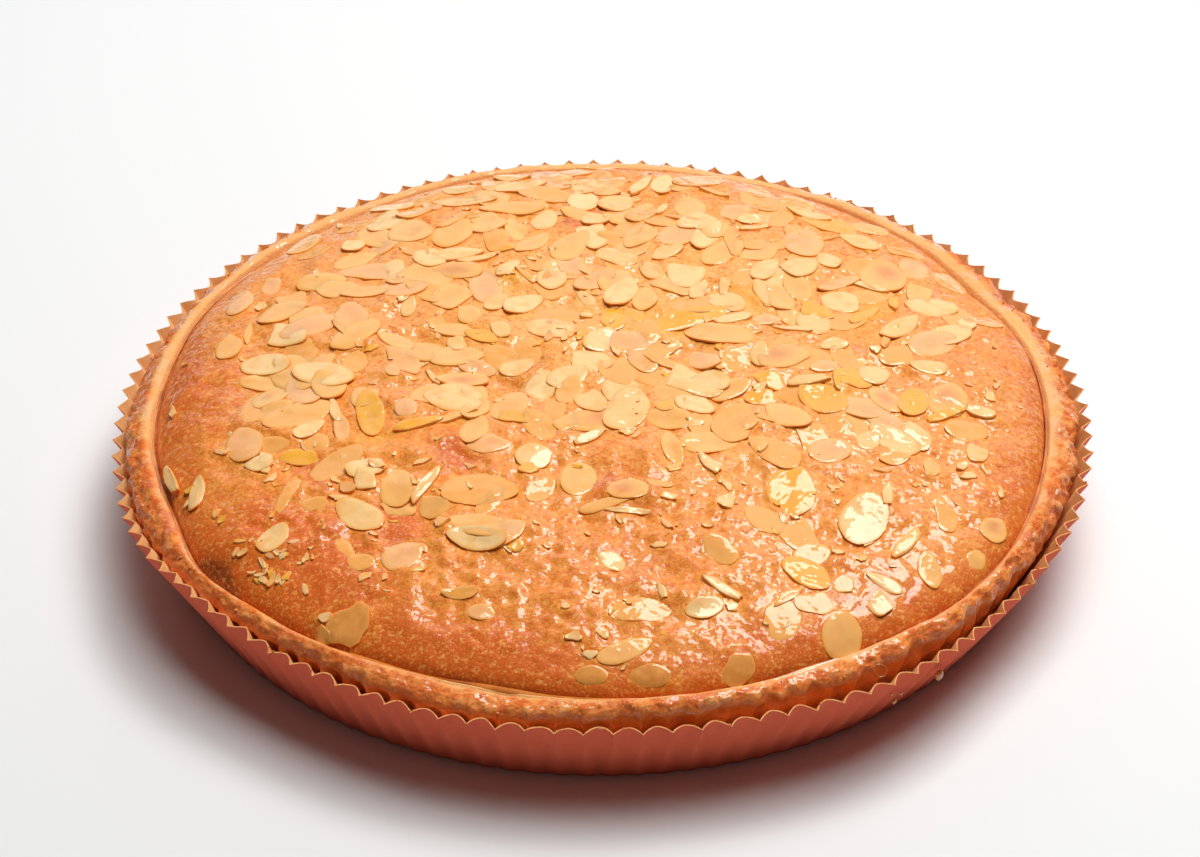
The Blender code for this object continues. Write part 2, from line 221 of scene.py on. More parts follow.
# The first chips lie heaped at the left front, and the others thickest in these patches
HEAPED_CHIPS = 22
HEAP_X = -82.0
HEAP_Y = -71.0
CHIP_PATCHES = (
    (0, 20, 90, 60, 160, 0.55), (45, -40, 50, 40, 0, 0.6), (-88, -72, 10, 8, 45, 0.8),
    (-30, -40, 50, 30, 0, 0.5), (60, -75, 30, 14, 30, 0.7), (0, -95, 30, 10, 0, 0.3),
    (-85, -45, 14, 10, 120, 0.6), (90, 0, 20, 30, 90, 0.5),
)

# Where the skin's edge is too dry to shine
DRY_EDGE = ((255.0, 50.0, 1.0),)

# Drops of glaze outside the crust: angle, radius, height and size; and a thread of it in a loop
GLAZE_DROPS = (
    (311.0, 121.6, 15.5, 2.6), (304.5, 121.2, 14.0, 1.3), (305.4, 121.3, 15.6, 1.0),
    (304.0, 121.4, 16.8, 0.9),
)
LOOP_ANGLE = 302.0
LOOP_RADIUS = 122.0
LOOP_HEIGHT = 26.2
GLAZE_AMBER = (0.70, 0.22, 0.03)
GLAZE_DEEP = (0.45, 0.10, 0.015)
# Loose crumbs on the rim, and the stretches of the paper's edge where every fourth one lies
RIM_CRUMBS = 180
CRUMBY_EDGES = ((225.0, 300.0), (320.0, 350.0))

# The camera that the photograph's view was worked out with
CAMERA_PLACE = (0.0, -0.8331, 0.6154)
CAMERA_AIM = (-0.0006, -0.0010, 0.0234)
CAMERA_ROLL = -0.383
CAMERA_LENS = 120.0


# Shapes shared by the pieces


def uneven(angle, bumps):
    """Sum of rounded bumps at their angles."""
    total = np.zeros_like(angle)
    for centre, half_width, size in bumps:
        away = (angle - centre + 180.0) % 360.0 - 180.0
        total += size * np.exp(-((away / half_width) ** 2))
    return total


def wave(angle, seed, cycles, size):
    """A smooth seeded wave that closes round the tart; cycles is the fastest one in it."""
    draw = random.Random(seed)
    total = np.zeros_like(angle)
    for count in range(2, cycles + 1):
        phase = draw.uniform(0.0, 360.0)
        total += np.sin(np.radians(count * angle + phase)) / math.sqrt(cycles - 1)
    return size * total


def ripples(x, y, seed, shortest, longest, count):
    """Seeded swells in all directions, between two wavelengths, with a spread of about one."""
    draw = random.Random(seed)
    total = np.zeros_like(x)
    for _ in range(count):
        heading = draw.uniform(0.0, math.tau)
        length = shortest * (longest / shortest) ** draw.random()
        phase = draw.uniform(0.0, math.tau)
        along = x * math.cos(heading) + y * math.sin(heading)
        total += np.sin(math.tau * along / length + phase)
    return total * math.sqrt(2.0 / count)


def patches(x, y, rows):
    """How far each place lies in any of the rounded patches."""
    total = np.zeros_like(x)
    for px, py, long_half, short_half, turn, amount in rows:
        c, s = math.cos(math.radians(turn)), math.sin(math.radians(turn))
        along = ((x - px) * c + (y - py) * s) / long_half
        across = ((y - py) * c - (x - px) * s) / short_half
        total = np.maximum(total, amount * np.exp(-(along**2) - across**2))
    return total


def patches_at(x, y, rows):
    return patches(np.array([x]), np.array([y]), rows)[0]


def flute(angle):
    """0 on an outer fold of the paper, 1 on an inner fold, sharp outside and round inside."""
    place = ((angle - FIRST_FLUTE) * FLUTES / 360.0) % 1.0
    return np.abs(np.sin(np.pi * place)) ** 0.9


def case_radius(angle, share, fold):
    straight = CASE_BASE_RADIUS + share * (CASE_RIM_RADIUS - CASE_BASE_RADIUS)
    depth = FLUTE_DEPTH_AT_BASE + share * (FLUTE_DEPTH_AT_RIM - FLUTE_DEPTH_AT_BASE)
    return straight - depth * fold + share * uneven(angle, RIM_BULGES)


def case_rim_height(angle):
    return CASE_HEIGHT + uneven(angle, RIM_LIFTS + BACK_LIFT)


def crust_wall_radius(angle, share, fold):
    shrunk = share**3 * (uneven(angle, CRUST_GAPS) + np.maximum(0.0, uneven(angle, RIM_BULGES)))
    return case_radius(angle, share, fold) - CRUST_BACK - shrunk


def crust_fullness(angle):
    """1 where the crust fills the paper up to its rim, 0 where it has shrunk away from it."""
    return np.minimum(1.0, uneven(angle, CRUST_FULL))


def crust_edge_radius(angle, fold):
    """Radius of the rim's outer edge, rounded inside the paper's folds."""
    full = crust_fullness(angle)
    smooth = crust_wall_radius(angle, 1.0, 0.54 + 0.2 * fold) - 0.3
    ragged = wave(angle, 71, 60, 0.55) + wave(angle, 72, 150, 0.3)
    return smooth - 0.5 * full + (1.0 - 0.75 * full) * np.minimum(0.6, ragged)


def crease_radius(angle):
    """Radius at which the crust's lip meets the filling."""
    return CREASE_RADIUS + wave(angle, 5, 9, RIM_WAVINESS) + uneven(angle, CREASE_NOTCHES)


def lumps(x, y):
    draw = random.Random(7)
    total = np.zeros_like(x)
    for _ in range(9):
        heading = draw.uniform(0.0, math.tau)
        length = draw.uniform(28.0, 60.0)
        phase = draw.uniform(0.0, math.tau)
        along = x * math.cos(heading) + y * math.sin(heading)
        total += np.sin(math.tau * along / length + phase) / 3.0
    return LUMP_HEIGHT * total


def dome_height(x, y):
    """Height of the filling's skin without its small bumps, as the part has it."""
    angle = np.degrees(np.arctan2(y, x))
    share = np.minimum(1.0, np.hypot(x, y) / (crease_radius(angle) - DOME_INSET))
    rise = np.sqrt(1.0 - share**DOME_SQUARENESS)
    edge = CASE_HEIGHT + DOME_EDGE_HEIGHT + share * uneven(angle, BACK_LIFT)
    return edge + DOME_HEIGHT * rise + lumps(x, y) * np.minimum(1.0, 3.0 * (1.0 - share))


def dome_slope(x, y):
    """How steeply the dome rises towards +X and +Y."""
    reach = 2.0
    at_x = np.array([x + reach, x - reach, x, x])
    at_y = np.array([y, y, y + reach, y - reach])
    high = dome_height(at_x, at_y)
    return (high[0] - high[1]) / (2.0 * reach), (high[2] - high[3]) / (2.0 * reach)


def skin_height(x, y):
    """The dome with the blisters and hollows of its baked skin, calmer at the edge."""
    share = np.minimum(1.0, np.hypot(x, y) / CREASE_RADIUS)
    calm = np.minimum(1.0, 5.0 * (1.0 - share)) + 0.15
    front = 1.0 / (1.0 + np.exp((y + 30.0) / 25.0))
    swell = 0.30 * ripples(x, y, 31, 9.0, 22.0, 26)
    blister = 0.14 * ripples(x, y, 32, 3.5, 8.0, 40) * (0.7 + 0.6 * front)
    return dome_height(x, y) + calm * (swell + blister) - 0.15


# Tools for making meshes


def clear_selection():
    if bpy.context.object and bpy.context.object.mode != "OBJECT":
        bpy.ops.object.mode_set(mode="OBJECT")
    bpy.ops.object.select_all(action="DESELECT")


def edit(item, mode="VERT"):
    clear_selection()
    item.select_set(True)
    bpy.context.view_layer.objects.active = item
    bpy.ops.object.mode_set(mode="EDIT")
    bpy.ops.mesh.select_mode(type=mode)


def close_edit():
    bpy.ops.object.mode_set(mode="OBJECT")


def close_outward():
    """Turns every face outwards and leaves the edit."""
    bpy.ops.mesh.select_all(action="SELECT")
    bpy.ops.mesh.normals_make_consistent(inside=False)
    close_edit()


def points_of(item):
    """The mesh's points in millimetres, one row each."""
    flat = np.empty(len(item.data.vertices) * 3, dtype=np.float32)
    item.data.vertices.foreach_get("co", flat)
    return flat.reshape(-1, 3).astype(float) / MM


def move_points(item, points):
    item.data.vertices.foreach_set("co", (points * MM).astype(np.float32).ravel())
    item.data.update()


def mark(item, name, values):
    """Keeps one number for each point, for the finish to read."""
    layer = item.data.attributes.get(name) or item.data.attributes.new(name, "FLOAT", "POINT")
    layer.data.foreach_set("value", np.asarray(values, dtype=np.float32))


def normals_of(item):
    flat = np.empty(len(item.data.vertices) * 3, dtype=np.float32)
    item.data.vertices.foreach_get("normal", flat)
    return flat.reshape(-1, 3).astype(float)


def weight_group(item, name, weights):
    """A vertex group from one weight per point, in twenty steps."""
    group = item.vertex_groups.new(name=name)
    steps = np.round(np.clip(weights, 0.0, 1.0) * 20.0).astype(int)
    for step in np.unique(steps):
        group.add(np.flatnonzero(steps == step).tolist(), step / 20.0, "REPLACE")
    return group.name


def roughen(item, kind, grain, height, group="", depth=2):
    """Pushes the surface in and out by a procedural texture; grain and height in millimetres."""
    pattern = bpy.data.textures.new(f"{item.name}_{kind.lower()}", kind)
    pattern.noise_scale = grain * MM
    if kind == "CLOUDS":
        pattern.noise_depth = depth
    push = item.modifiers.new("roughen", "DISPLACE")
    push.texture = pattern
    push.texture_coords = "LOCAL"
    push.strength = height * MM
    push.mid_level = 0.5
    push.vertex_group = group
    bpy.context.view_layer.objects.active = item
    bpy.ops.object.modifier_apply(modifier=push.name)


def relief_since(item, before, normals):
    """How far each point has moved outwards, in millimetres."""
    return ((points_of(item) - before) * normals).sum(axis=1)


def finish_piece(item, name, finishes, replaced=()):
    item.name = name
    item.data.name = name
    item.data.materials.clear()
    for finish in finishes:
        item.data.materials.append(finish)
    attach(item, BODY)
    if replaced:
        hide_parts(*replaced)


def ring_tube(around, rows):
    """A tube of rings, extruded from a circle, with each point's ring and angle."""
    clear_selection()
    bpy.ops.mesh.primitive_circle_add(
        vertices=around, radius=CREASE_RADIUS * MM, fill_type="NOTHING", location=(0.0, 0.0, 0.0)
    )
    item = bpy.context.object
    edit(item, "EDGE")
    bpy.ops.mesh.select_all(action="SELECT")
    for _ in range(rows - 1):
        bpy.ops.mesh.extrude_region_move(TRANSFORM_OT_translate={"value": (0.0, 0.0, MM)})
    close_edit()
    points = points_of(item)
    ring = np.round(points[:, 2]).astype(int)
    angle = np.degrees(np.arctan2(points[:, 1], points[:, 0])) % 360.0
    return item, ring, angle


def round_points(radius, angle, height):
    """Points from their radius, angle and height."""
    turn = np.radians(angle)
    return np.stack((radius * np.cos(turn), radius * np.sin(turn), height), axis=-1)


def joined_mesh(name, parts, marks):
    """One object from many (points, faces) pairs, with its marks joined in the same order."""
    points = np.concatenate([part[0] for part in parts]) * MM
    faces = []
    start = 0
    for part_points, part_faces in parts:
        faces.extend([tuple(corner + start for corner in face) for face in part_faces])
        start += len(part_points)
    data = bpy.data.meshes.new(name)
    data.from_pydata(points.tolist(), [], faces)
    item = bpy.data.objects.new(name, data)
    bpy.context.scene.collection.objects.link(item)
    for key, values in marks.items():
        mark(item, key, np.concatenate(values))
    return item


# Tools for making finishes


def new_finish(name):
    finish = bpy.data.materials.new(name)
    finish.use_nodes = True
    return finish, finish.node_tree, finish.node_tree.nodes["Principled BSDF"]


def socket(tree, target, value):
    if isinstance(value, bpy.types.NodeSocket):
        tree.links.new(value, target)
    else:
        target.default_value = value


def place_in(tree):
    return tree.nodes.new("ShaderNodeTexCoord").outputs["Object"]


def noise(tree, place, grain, detail=2.0, roughness=0.5):
    """Cloudy noise with features of about grain millimetres."""
    node = tree.nodes.new("ShaderNodeTexNoise")
    tree.links.new(place, node.inputs["Vector"])
    node.inputs["Scale"].default_value = 1000.0 / grain
    node.inputs["Detail"].default_value = detail
    node.inputs["Roughness"].default_value = roughness
    return node.outputs["Fac"]


def cells(tree, place, grain):
    node = tree.nodes.new("ShaderNodeTexVoronoi")
    tree.links.new(place, node.inputs["Vector"])
    node.inputs["Scale"].default_value = 1000.0 / grain
    return node.outputs["Distance"]


def marked(tree, name):
    node = tree.nodes.new("ShaderNodeAttribute")
    node.attribute_name = name
    return node.outputs["Fac"]


def between(tree, value, low, high, low_to=0.0, high_to=1.0):
    node = tree.nodes.new("ShaderNodeMapRange")
    node.interpolation_type = "SMOOTHSTEP"
    tree.links.new(value, node.inputs["Value"])
    for key, number in zip(("From Min", "From Max", "To Min", "To Max"), (low, high, low_to, high_to)):
        node.inputs[key].default_value = number
    return node.outputs["Result"]


def swing(tree, value, by):
    """Noise about its middle as a swing either way."""
    return times(tree, sums(tree, "SUBTRACT", value, 0.5), by)


def sums(tree, operation, first, second):
    node = tree.nodes.new("ShaderNodeMath")
    node.operation = operation
    socket(tree, node.inputs[0], first)
    socket(tree, node.inputs[1], second)
    return node.outputs["Value"]


def times(tree, first, second):
    return sums(tree, "MULTIPLY", first, second)


def plus(tree, first, second):
    return sums(tree, "ADD", first, second)


def blend(tree, amount, first, second):
    """Mixes two colours, each a socket or three numbers."""
    node = tree.nodes.new("ShaderNodeMix")
    node.data_type = "RGBA"
    socket(tree, node.inputs[0], amount)
    for target, value in zip((node.inputs[6], node.inputs[7]), (first, second)):
        socket(tree, target, value if isinstance(value, bpy.types.NodeSocket) else (*value, 1.0))
    return node.outputs[2]


def layered(tree, colour, layers):
    """Lays colours over one another, each by its own amount."""
    for amount, tone in layers:
        colour = blend(tree, amount, colour, tone)
    return colour


def set_values(shader, values):
    """Sets plain values on the shader's own sockets."""
    for key, value in values.items():
        shader.inputs[key].default_value = value


def bump(tree, height, distance, strength=1.0, onto=None):
    node = tree.nodes.new("ShaderNodeBump")
    node.inputs["Strength"].default_value = strength
    node.inputs["Distance"].default_value = distance * MM
    tree.links.new(height, node.inputs["Height"])
    if onto is not None:
        tree.links.new(onto, node.inputs["Normal"])
    return node.outputs["Normal"]


# What a user can change


def colour_property(name, description, default):
    return bpy.props.FloatVectorProperty(
        name=name, description=description, default=default, subtype="COLOR", size=3, min=0.0, max=1.0
    )


def length_property(name, description, default, top):
    return bpy.props.FloatProperty(
        name=name, description=description, default=default * MM, min=0.0, max=top * MM,
        unit="LENGTH", precision=5,
    )


def power_property(name, description, default):
    return bpy.props.FloatProperty(
        name=name, description=description, default=default, min=0.0, unit="POWER"
    )


class CaseSettings(bpy.types.PropertyGroup):
    """Sizes and colours of the paper case."""

    unevenness: length_property("Unevenness", "How far the folds stray from even", 0.35, 2.0)
    outside: colour_property("Outside", "Paper seen from outside", (0.80, 0.155, 0.078))
    # Darker paper: the fibres' own mottling, a slight darkening along the outer folds, and painted shade
    # towards the base
    outside_shade_and_fibre: colour_property("Near the base", "Paper outside near the base", (0.70, 0.13, 0.065))
    inside: colour_property("Inside", "Greased inside of the paper", (0.96, 0.56, 0.24))
    stain: colour_property("Grease", "Stains on the paper's inside", (0.88, 0.44, 0.16))
    cut_edge: colour_property("Cut edge", "The paper's cut edge", (0.88, 0.45, 0.14))


class CrustSettings(bpy.types.PropertyGroup):
    """Sizes and colours of the pastry."""

    crag_height: length_property("Crags", "Height of the rim's crags", 1.0, 4.0)
    crumb_height: length_property("Crumbs", "Height of the rim's small crumbs", 0.35, 2.0)
    # The lip colour is also painted as highlight on the rim's raised crags
    lip: colour_property("Lip", "Smooth pastry beside the filling", (0.90, 0.46, 0.165))
    rim: colour_property("Rim", "Baked outer rim", (0.93, 0.30, 0.065))
    # Darker baked brown for the rim's mottles and specks, and also painted shade in the hollows between
    # the crags
    hollow: colour_property("Hollows", "Between the rim's crags", (0.70, 0.13, 0.024))
    pale: colour_property("Pale grains", "Lightest grains of the pastry", (0.86, 0.50, 0.21))
    wall: colour_property("Wall", "The crust's side inside the paper", (0.76, 0.18, 0.038))


class FillingSettings(bpy.types.PropertyGroup):
    """Sizes and colours of the sponge's skin."""

    grain_height: length_property("Grain", "Height of the skin's small grain", 0.12, 1.0)
    meniscus: length_property("Glaze rise", "How far the glaze climbs a flake", 0.4, 1.0)
    golden: colour_property("Golden", "Skin where it is evenly baked", (0.90, 0.30, 0.042))
    deep: colour_property("Well baked", "Skin where it is darkest", (0.70, 0.125, 0.012))
    # Darkest brown where the skin is most browned, and painted shade in the hollows beside the crust
    burnt_and_cavity_shade: colour_property("Burnt", "Skin in the dark hollow beside the crust", (0.20, 0.04, 0.012))
    pale: colour_property("Pale", "Skin where it is lightly baked", (1.0, 0.50, 0.13))
    wet: colour_property("Wet", "Pools of yellow glaze", (0.95, 0.40, 0.02))


class FlakeSettings(bpy.types.PropertyGroup):
    """Number, size and colours of the flaked almonds."""

    flakes: bpy.props.IntProperty(
        name="Flakes", description="Flaked almonds on the whole tart", default=380, min=1, max=600
    )
    chips: bpy.props.IntProperty(
        name="Chips", description="Small broken bits of almond", default=300, min=0, max=2000
    )
    thickness: length_property("Thickness", "Thickness of a flake", 0.42, 3.0)
    cream: colour_property("Cream", "Pale almond", (1.0, 0.62, 0.27))
    gold: colour_property("Gold", "Baked almond", (1.0, 0.50, 0.15))
    clear: colour_property("Clear", "Almond soaked in glaze", (0.96, 0.40, 0.09))
    pink: colour_property("Pink", "Almond with a pink cast", (0.98, 0.48, 0.20))
    toasted: colour_property("Toasted", "Browned middle of a flake", (0.70, 0.21, 0.075))
    yellow: colour_property("Yellow", "Almond in a yellow pool", (0.97, 0.42, 0.03))
    amber: colour_property("Amber", "Almond turned clear by the glaze", (0.70, 0.25, 0.045))
    edge: colour_property("Edge", "The side of a flake, seen through glaze", (0.95, 0.36, 0.06))


class StageSettings(bpy.types.PropertyGroup):
    """The floor and the light."""

    floor: colour_property("Floor", "The pale table", (0.835, 0.84, 0.835))
    key_power: power_property("Softbox", "Power of the overhead softbox", 5.6)
    fill_power: power_property("Ceiling", "Power of the wide light above", 13.5)
    sheen_power: power_property("Sheen", "Power of the softbox that the glaze mirrors", 8.6)
    back_power: power_property("Backdrop", "Power of the wide light behind", 8.0)
    sky: bpy.props.FloatProperty(
        name="Room", description="Brightness of the white room", default=0.05, min=0.0
    )


# The paper case


def paper_finishes(settings):
    """Outside, inside and cut edge of the paper."""
    outside, tree, shader = new_finish("paper outside")
    place = place_in(tree)
    height = marked(tree, "height")
    fold = marked(tree, "fold")
    fibre = noise(tree, place, 1.4, 3.0, 0.6)
    cloud = noise(tree, place, 14.0, 2.0, 0.5)
    rise = plus(tree, height, times(tree, cloud, 0.5))
    # Darker towards the base, broken by cloudy noise: painted shade
    colour = blend(tree, between(tree, rise, 0.15, 0.85), settings.outside_shade_and_fibre, settings.outside)
    # Slightly darker along the outer folds
    colour = blend(tree, between(tree, fold, 0.2, 0.0, 0.0, 0.12), colour, settings.outside_shade_and_fibre)
    colour = blend(tree, between(tree, fibre, 0.35, 0.7, 0.0, 0.25), colour, settings.outside_shade_and_fibre)
    tree.links.new(colour, shader.inputs["Base Color"])
    shader.inputs["Roughness"].default_value = 0.8
    shader.inputs["Specular IOR Level"].default_value = 0.2
    tree.links.new(bump(tree, fibre, 0.08, 0.5), shader.inputs["Normal"])

    inside, tree, shader = new_finish("paper inside")
    place = place_in(tree)
    stain = between(tree, noise(tree, place, 5.0, 2.0), 0.4, 0.65)
    tree.links.new(blend(tree, stain, settings.inside, settings.stain), shader.inputs["Base Color"])
    shader.inputs["Roughness"].default_value = 0.5

    edge, tree, shader = new_finish("paper cut edge")
    place = place_in(tree)
    worn = between(tree, noise(tree, place, 1.2, 2.0), 0.4, 0.7, 0.0, 0.6)
    tree.links.new(blend(tree, worn, settings.cut_edge, settings.outside), shader.inputs["Base Color"])
    shader.inputs["Roughness"].default_value = 0.8
    return outside, inside, edge


class TART_OT_paper_case(bpy.types.Operator):
    """Models the fluted paper case."""

    bl_idname = "tart.paper_case"
    bl_label = "Paper case"

    def execute(self, context):
        settings = context.scene.tart_case
        levels = 9
        wall = PAPER_THICKNESS
        item, ring, angle = ring_tube(FLUTES * 10, levels + 1)
        share = ring / levels
        draw = random.Random(17)
        number = np.floor(((angle - FIRST_FLUTE) * FLUTES / 360.0) % FLUTES).astype(int) % FLUTES
        stray = np.array([draw.uniform(0.55, 1.0) for _ in range(FLUTES)])[number]
        droop = np.array([draw.uniform(-1.0, 0.35) for _ in range(FLUTES)])[number]
        fold = flute(angle)
        slack = settings.unevenness / MM
        sharp = (0.3 + 0.6 * share) * (1.0 - 0.25 * (1.0 - stray))
        rounded = fold ** (1.0 + 0.7 * (1.0 - share))
        # Creased straight at the sides, rounder in front and behind
        place = ((angle - FIRST_FLUTE) * FLUTES / 360.0) % 1.0
        creased = 0.75 * np.cos(np.radians(angle)) ** 2 * share
        straight = 1.0 - np.abs(2.0 * place - 1.0)
        pleat = (rounded + (straight - rounded) * creased) * sharp
        radius = case_radius(angle, share, pleat)
        radius -= slack * share * np.abs(wave(angle, 19, 40, 0.7))
        height = share * case_rim_height(angle)
        torn = wave(angle, 29, 160, 0.22) + 0.35 * droop * fold
        height += (share > 0.99) * np.minimum(0.25, torn)
        move_points(item, round_points(radius, angle, height))
        edit(item, "EDGE")
        bpy.ops.mesh.select_all(action="DESELECT")
        close_edit()
        low = ring == 0
        item.data.vertices.foreach_set("select", low)
        edges = np.empty(len(item.data.edges) * 2, dtype=np.int32)
        item.data.edges.foreach_get("vertices", edges)
        item.data.edges.foreach_set("select", low[edges.reshape(-1, 2)].all(axis=1))
        edit(item, "EDGE")
        bpy.ops.mesh.edge_face_add()
        close_outward()
        # With a floor and no lid, outwards is the side away from the middle
        middle = item.data.polygons[0]
        if Vector((middle.center.x, middle.center.y, 0.0)).dot(middle.normal) < 0.0:
            edit(item, "FACE")
            bpy.ops.mesh.select_all(action="SELECT")
            bpy.ops.mesh.flip_normals()
            close_edit()
        mark(item, "height", share)
        mark(item, "fold", fold)
        shell = item.modifiers.new("thickness", "SOLIDIFY")
        shell.thickness = wall * MM
        shell.offset = -1.0
        shell.material_offset = 1
        shell.material_offset_rim = 2
        for finish in paper_finishes(settings):
            item.data.materials.append(finish)
        bpy.ops.object.modifier_apply(modifier=shell.name)
        bpy.ops.object.shade_smooth_by_angle(angle=math.radians(50.0))
        item.name = "paper_case_paper"
        item.data.name = "paper_case_paper"
        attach(item, BODY)
        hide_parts("paper_case")
        return {"FINISHED"}


# The crust


def ramp(value, start, span):
    """Rises from 0 at start to 1 after span."""
    return np.clip((value - start) / span, 0.0, 1.0)


def curve_through(places, knots):
    """Smooth heights at the given places through (place, height) knots."""
    at = np.array([knot[0] for knot in knots])
    to = np.array([knot[1] for knot in knots])
    slope = np.gradient(to, at)
    right = np.clip(np.searchsorted(at, places), 1, len(at) - 1)
    left = right - 1
    gap = at[right] - at[left]
    part = np.clip((places - at[left]) / gap, 0.0, 1.0)
    rest = 1.0 - part
    ends = (1.0 + 2.0 * part) * rest**2 * to[left] + part**2 * (3.0 - 2.0 * part) * to[right]
    bends = part * rest**2 * gap * slope[left] - part**2 * rest * gap * slope[right]
    return ends + bends


def rim_height(angle, across):
    """Height of the rim's top, across it from the crease, 0, to its outer edge, 1."""
    wavy = wave(angle, 11, 14, RIM_WAVINESS * 0.6) + wave(angle, 13, 50, 0.25) * across
    front = uneven(angle, FRONT_OF_RIM)
    rise = curve_through(across, RIM_KNOTS) * (1.0 - front)
    rise = rise + curve_through(across, FRONT_RIM_KNOTS) * front
    return CASE_HEIGHT + rise + uneven(angle, BACK_LIFT) + wavy * np.minimum(1.0, across * 5.0)


def crust_finish(settings):
    finish, tree, shader = new_finish("pastry")
    place = place_in(tree)
    across = marked(tree, "across")
    crag = marked(tree, "crag")
    fine = noise(tree, place, 0.8, 3.0, 0.6)
    middling = noise(tree, place, 3.4, 3.0, 0.6)
    broad = noise(tree, place, 15.0, 2.0, 0.5)
    shift = swing(tree, middling, 0.8)
    drift = swing(tree, broad, 0.9)
    edge = plus(tree, plus(tree, across, shift), drift)
    colour = blend(tree, between(tree, edge, 0.35, 0.8), settings.lip, settings.rim)
    brown = plus(tree, plus(tree, middling, times(tree, drift, 0.5)), shift)
    brown = times(tree, between(tree, brown, 0.36, 0.72), between(tree, across, 0.35, 0.75))
    colour = layered(tree, colour, (
        (times(tree, brown, 0.85), settings.hollow),
        # Painted shade where the relief sinks, and painted highlight where it rises
        (between(tree, crag, 0.0, -0.45, 0.0, 0.35), settings.hollow),
        (between(tree, crag, 0.1, 0.5, 0.0, 0.5), settings.lip),
    ))
    outwards = between(tree, across, 0.3, 0.8, 0.05, 0.6)
    specks = times(tree, between(tree, fine, 0.5, 0.65), outwards)
    colour = layered(tree, colour, (
        (specks, settings.hollow),
        (between(tree, fine, 0.42, 0.28, 0.0, 0.35), settings.pale),
        (between(tree, across, 1.1, 1.25, 0.0, 0.8), settings.wall),
    ))
    tree.links.new(colour, shader.inputs["Base Color"])
    patch = plus(tree, noise(tree, place, 6.0, 2.0), times(tree, across, 0.12))
    glazed = between(tree, patch, 0.53, 0.58)
    tree.links.new(between(tree, glazed, 0.0, 1.0, 0.7, 0.45), shader.inputs["Roughness"])
    tree.links.new(glazed, shader.inputs["Coat Weight"])
    shader.inputs["Coat Roughness"].default_value = 0.05
    shader.inputs["Specular IOR Level"].default_value = 0.15
    rough = bump(tree, fine, 0.4, 0.8)
    rough = bump(tree, middling, 0.4, 0.35, rough)
    tree.links.new(rough, shader.inputs["Normal"])
    tree.links.new(bump(tree, noise(tree, place, 1.6, 1.0), 0.3, 0.6), shader.inputs["Coat Normal"])
    return finish


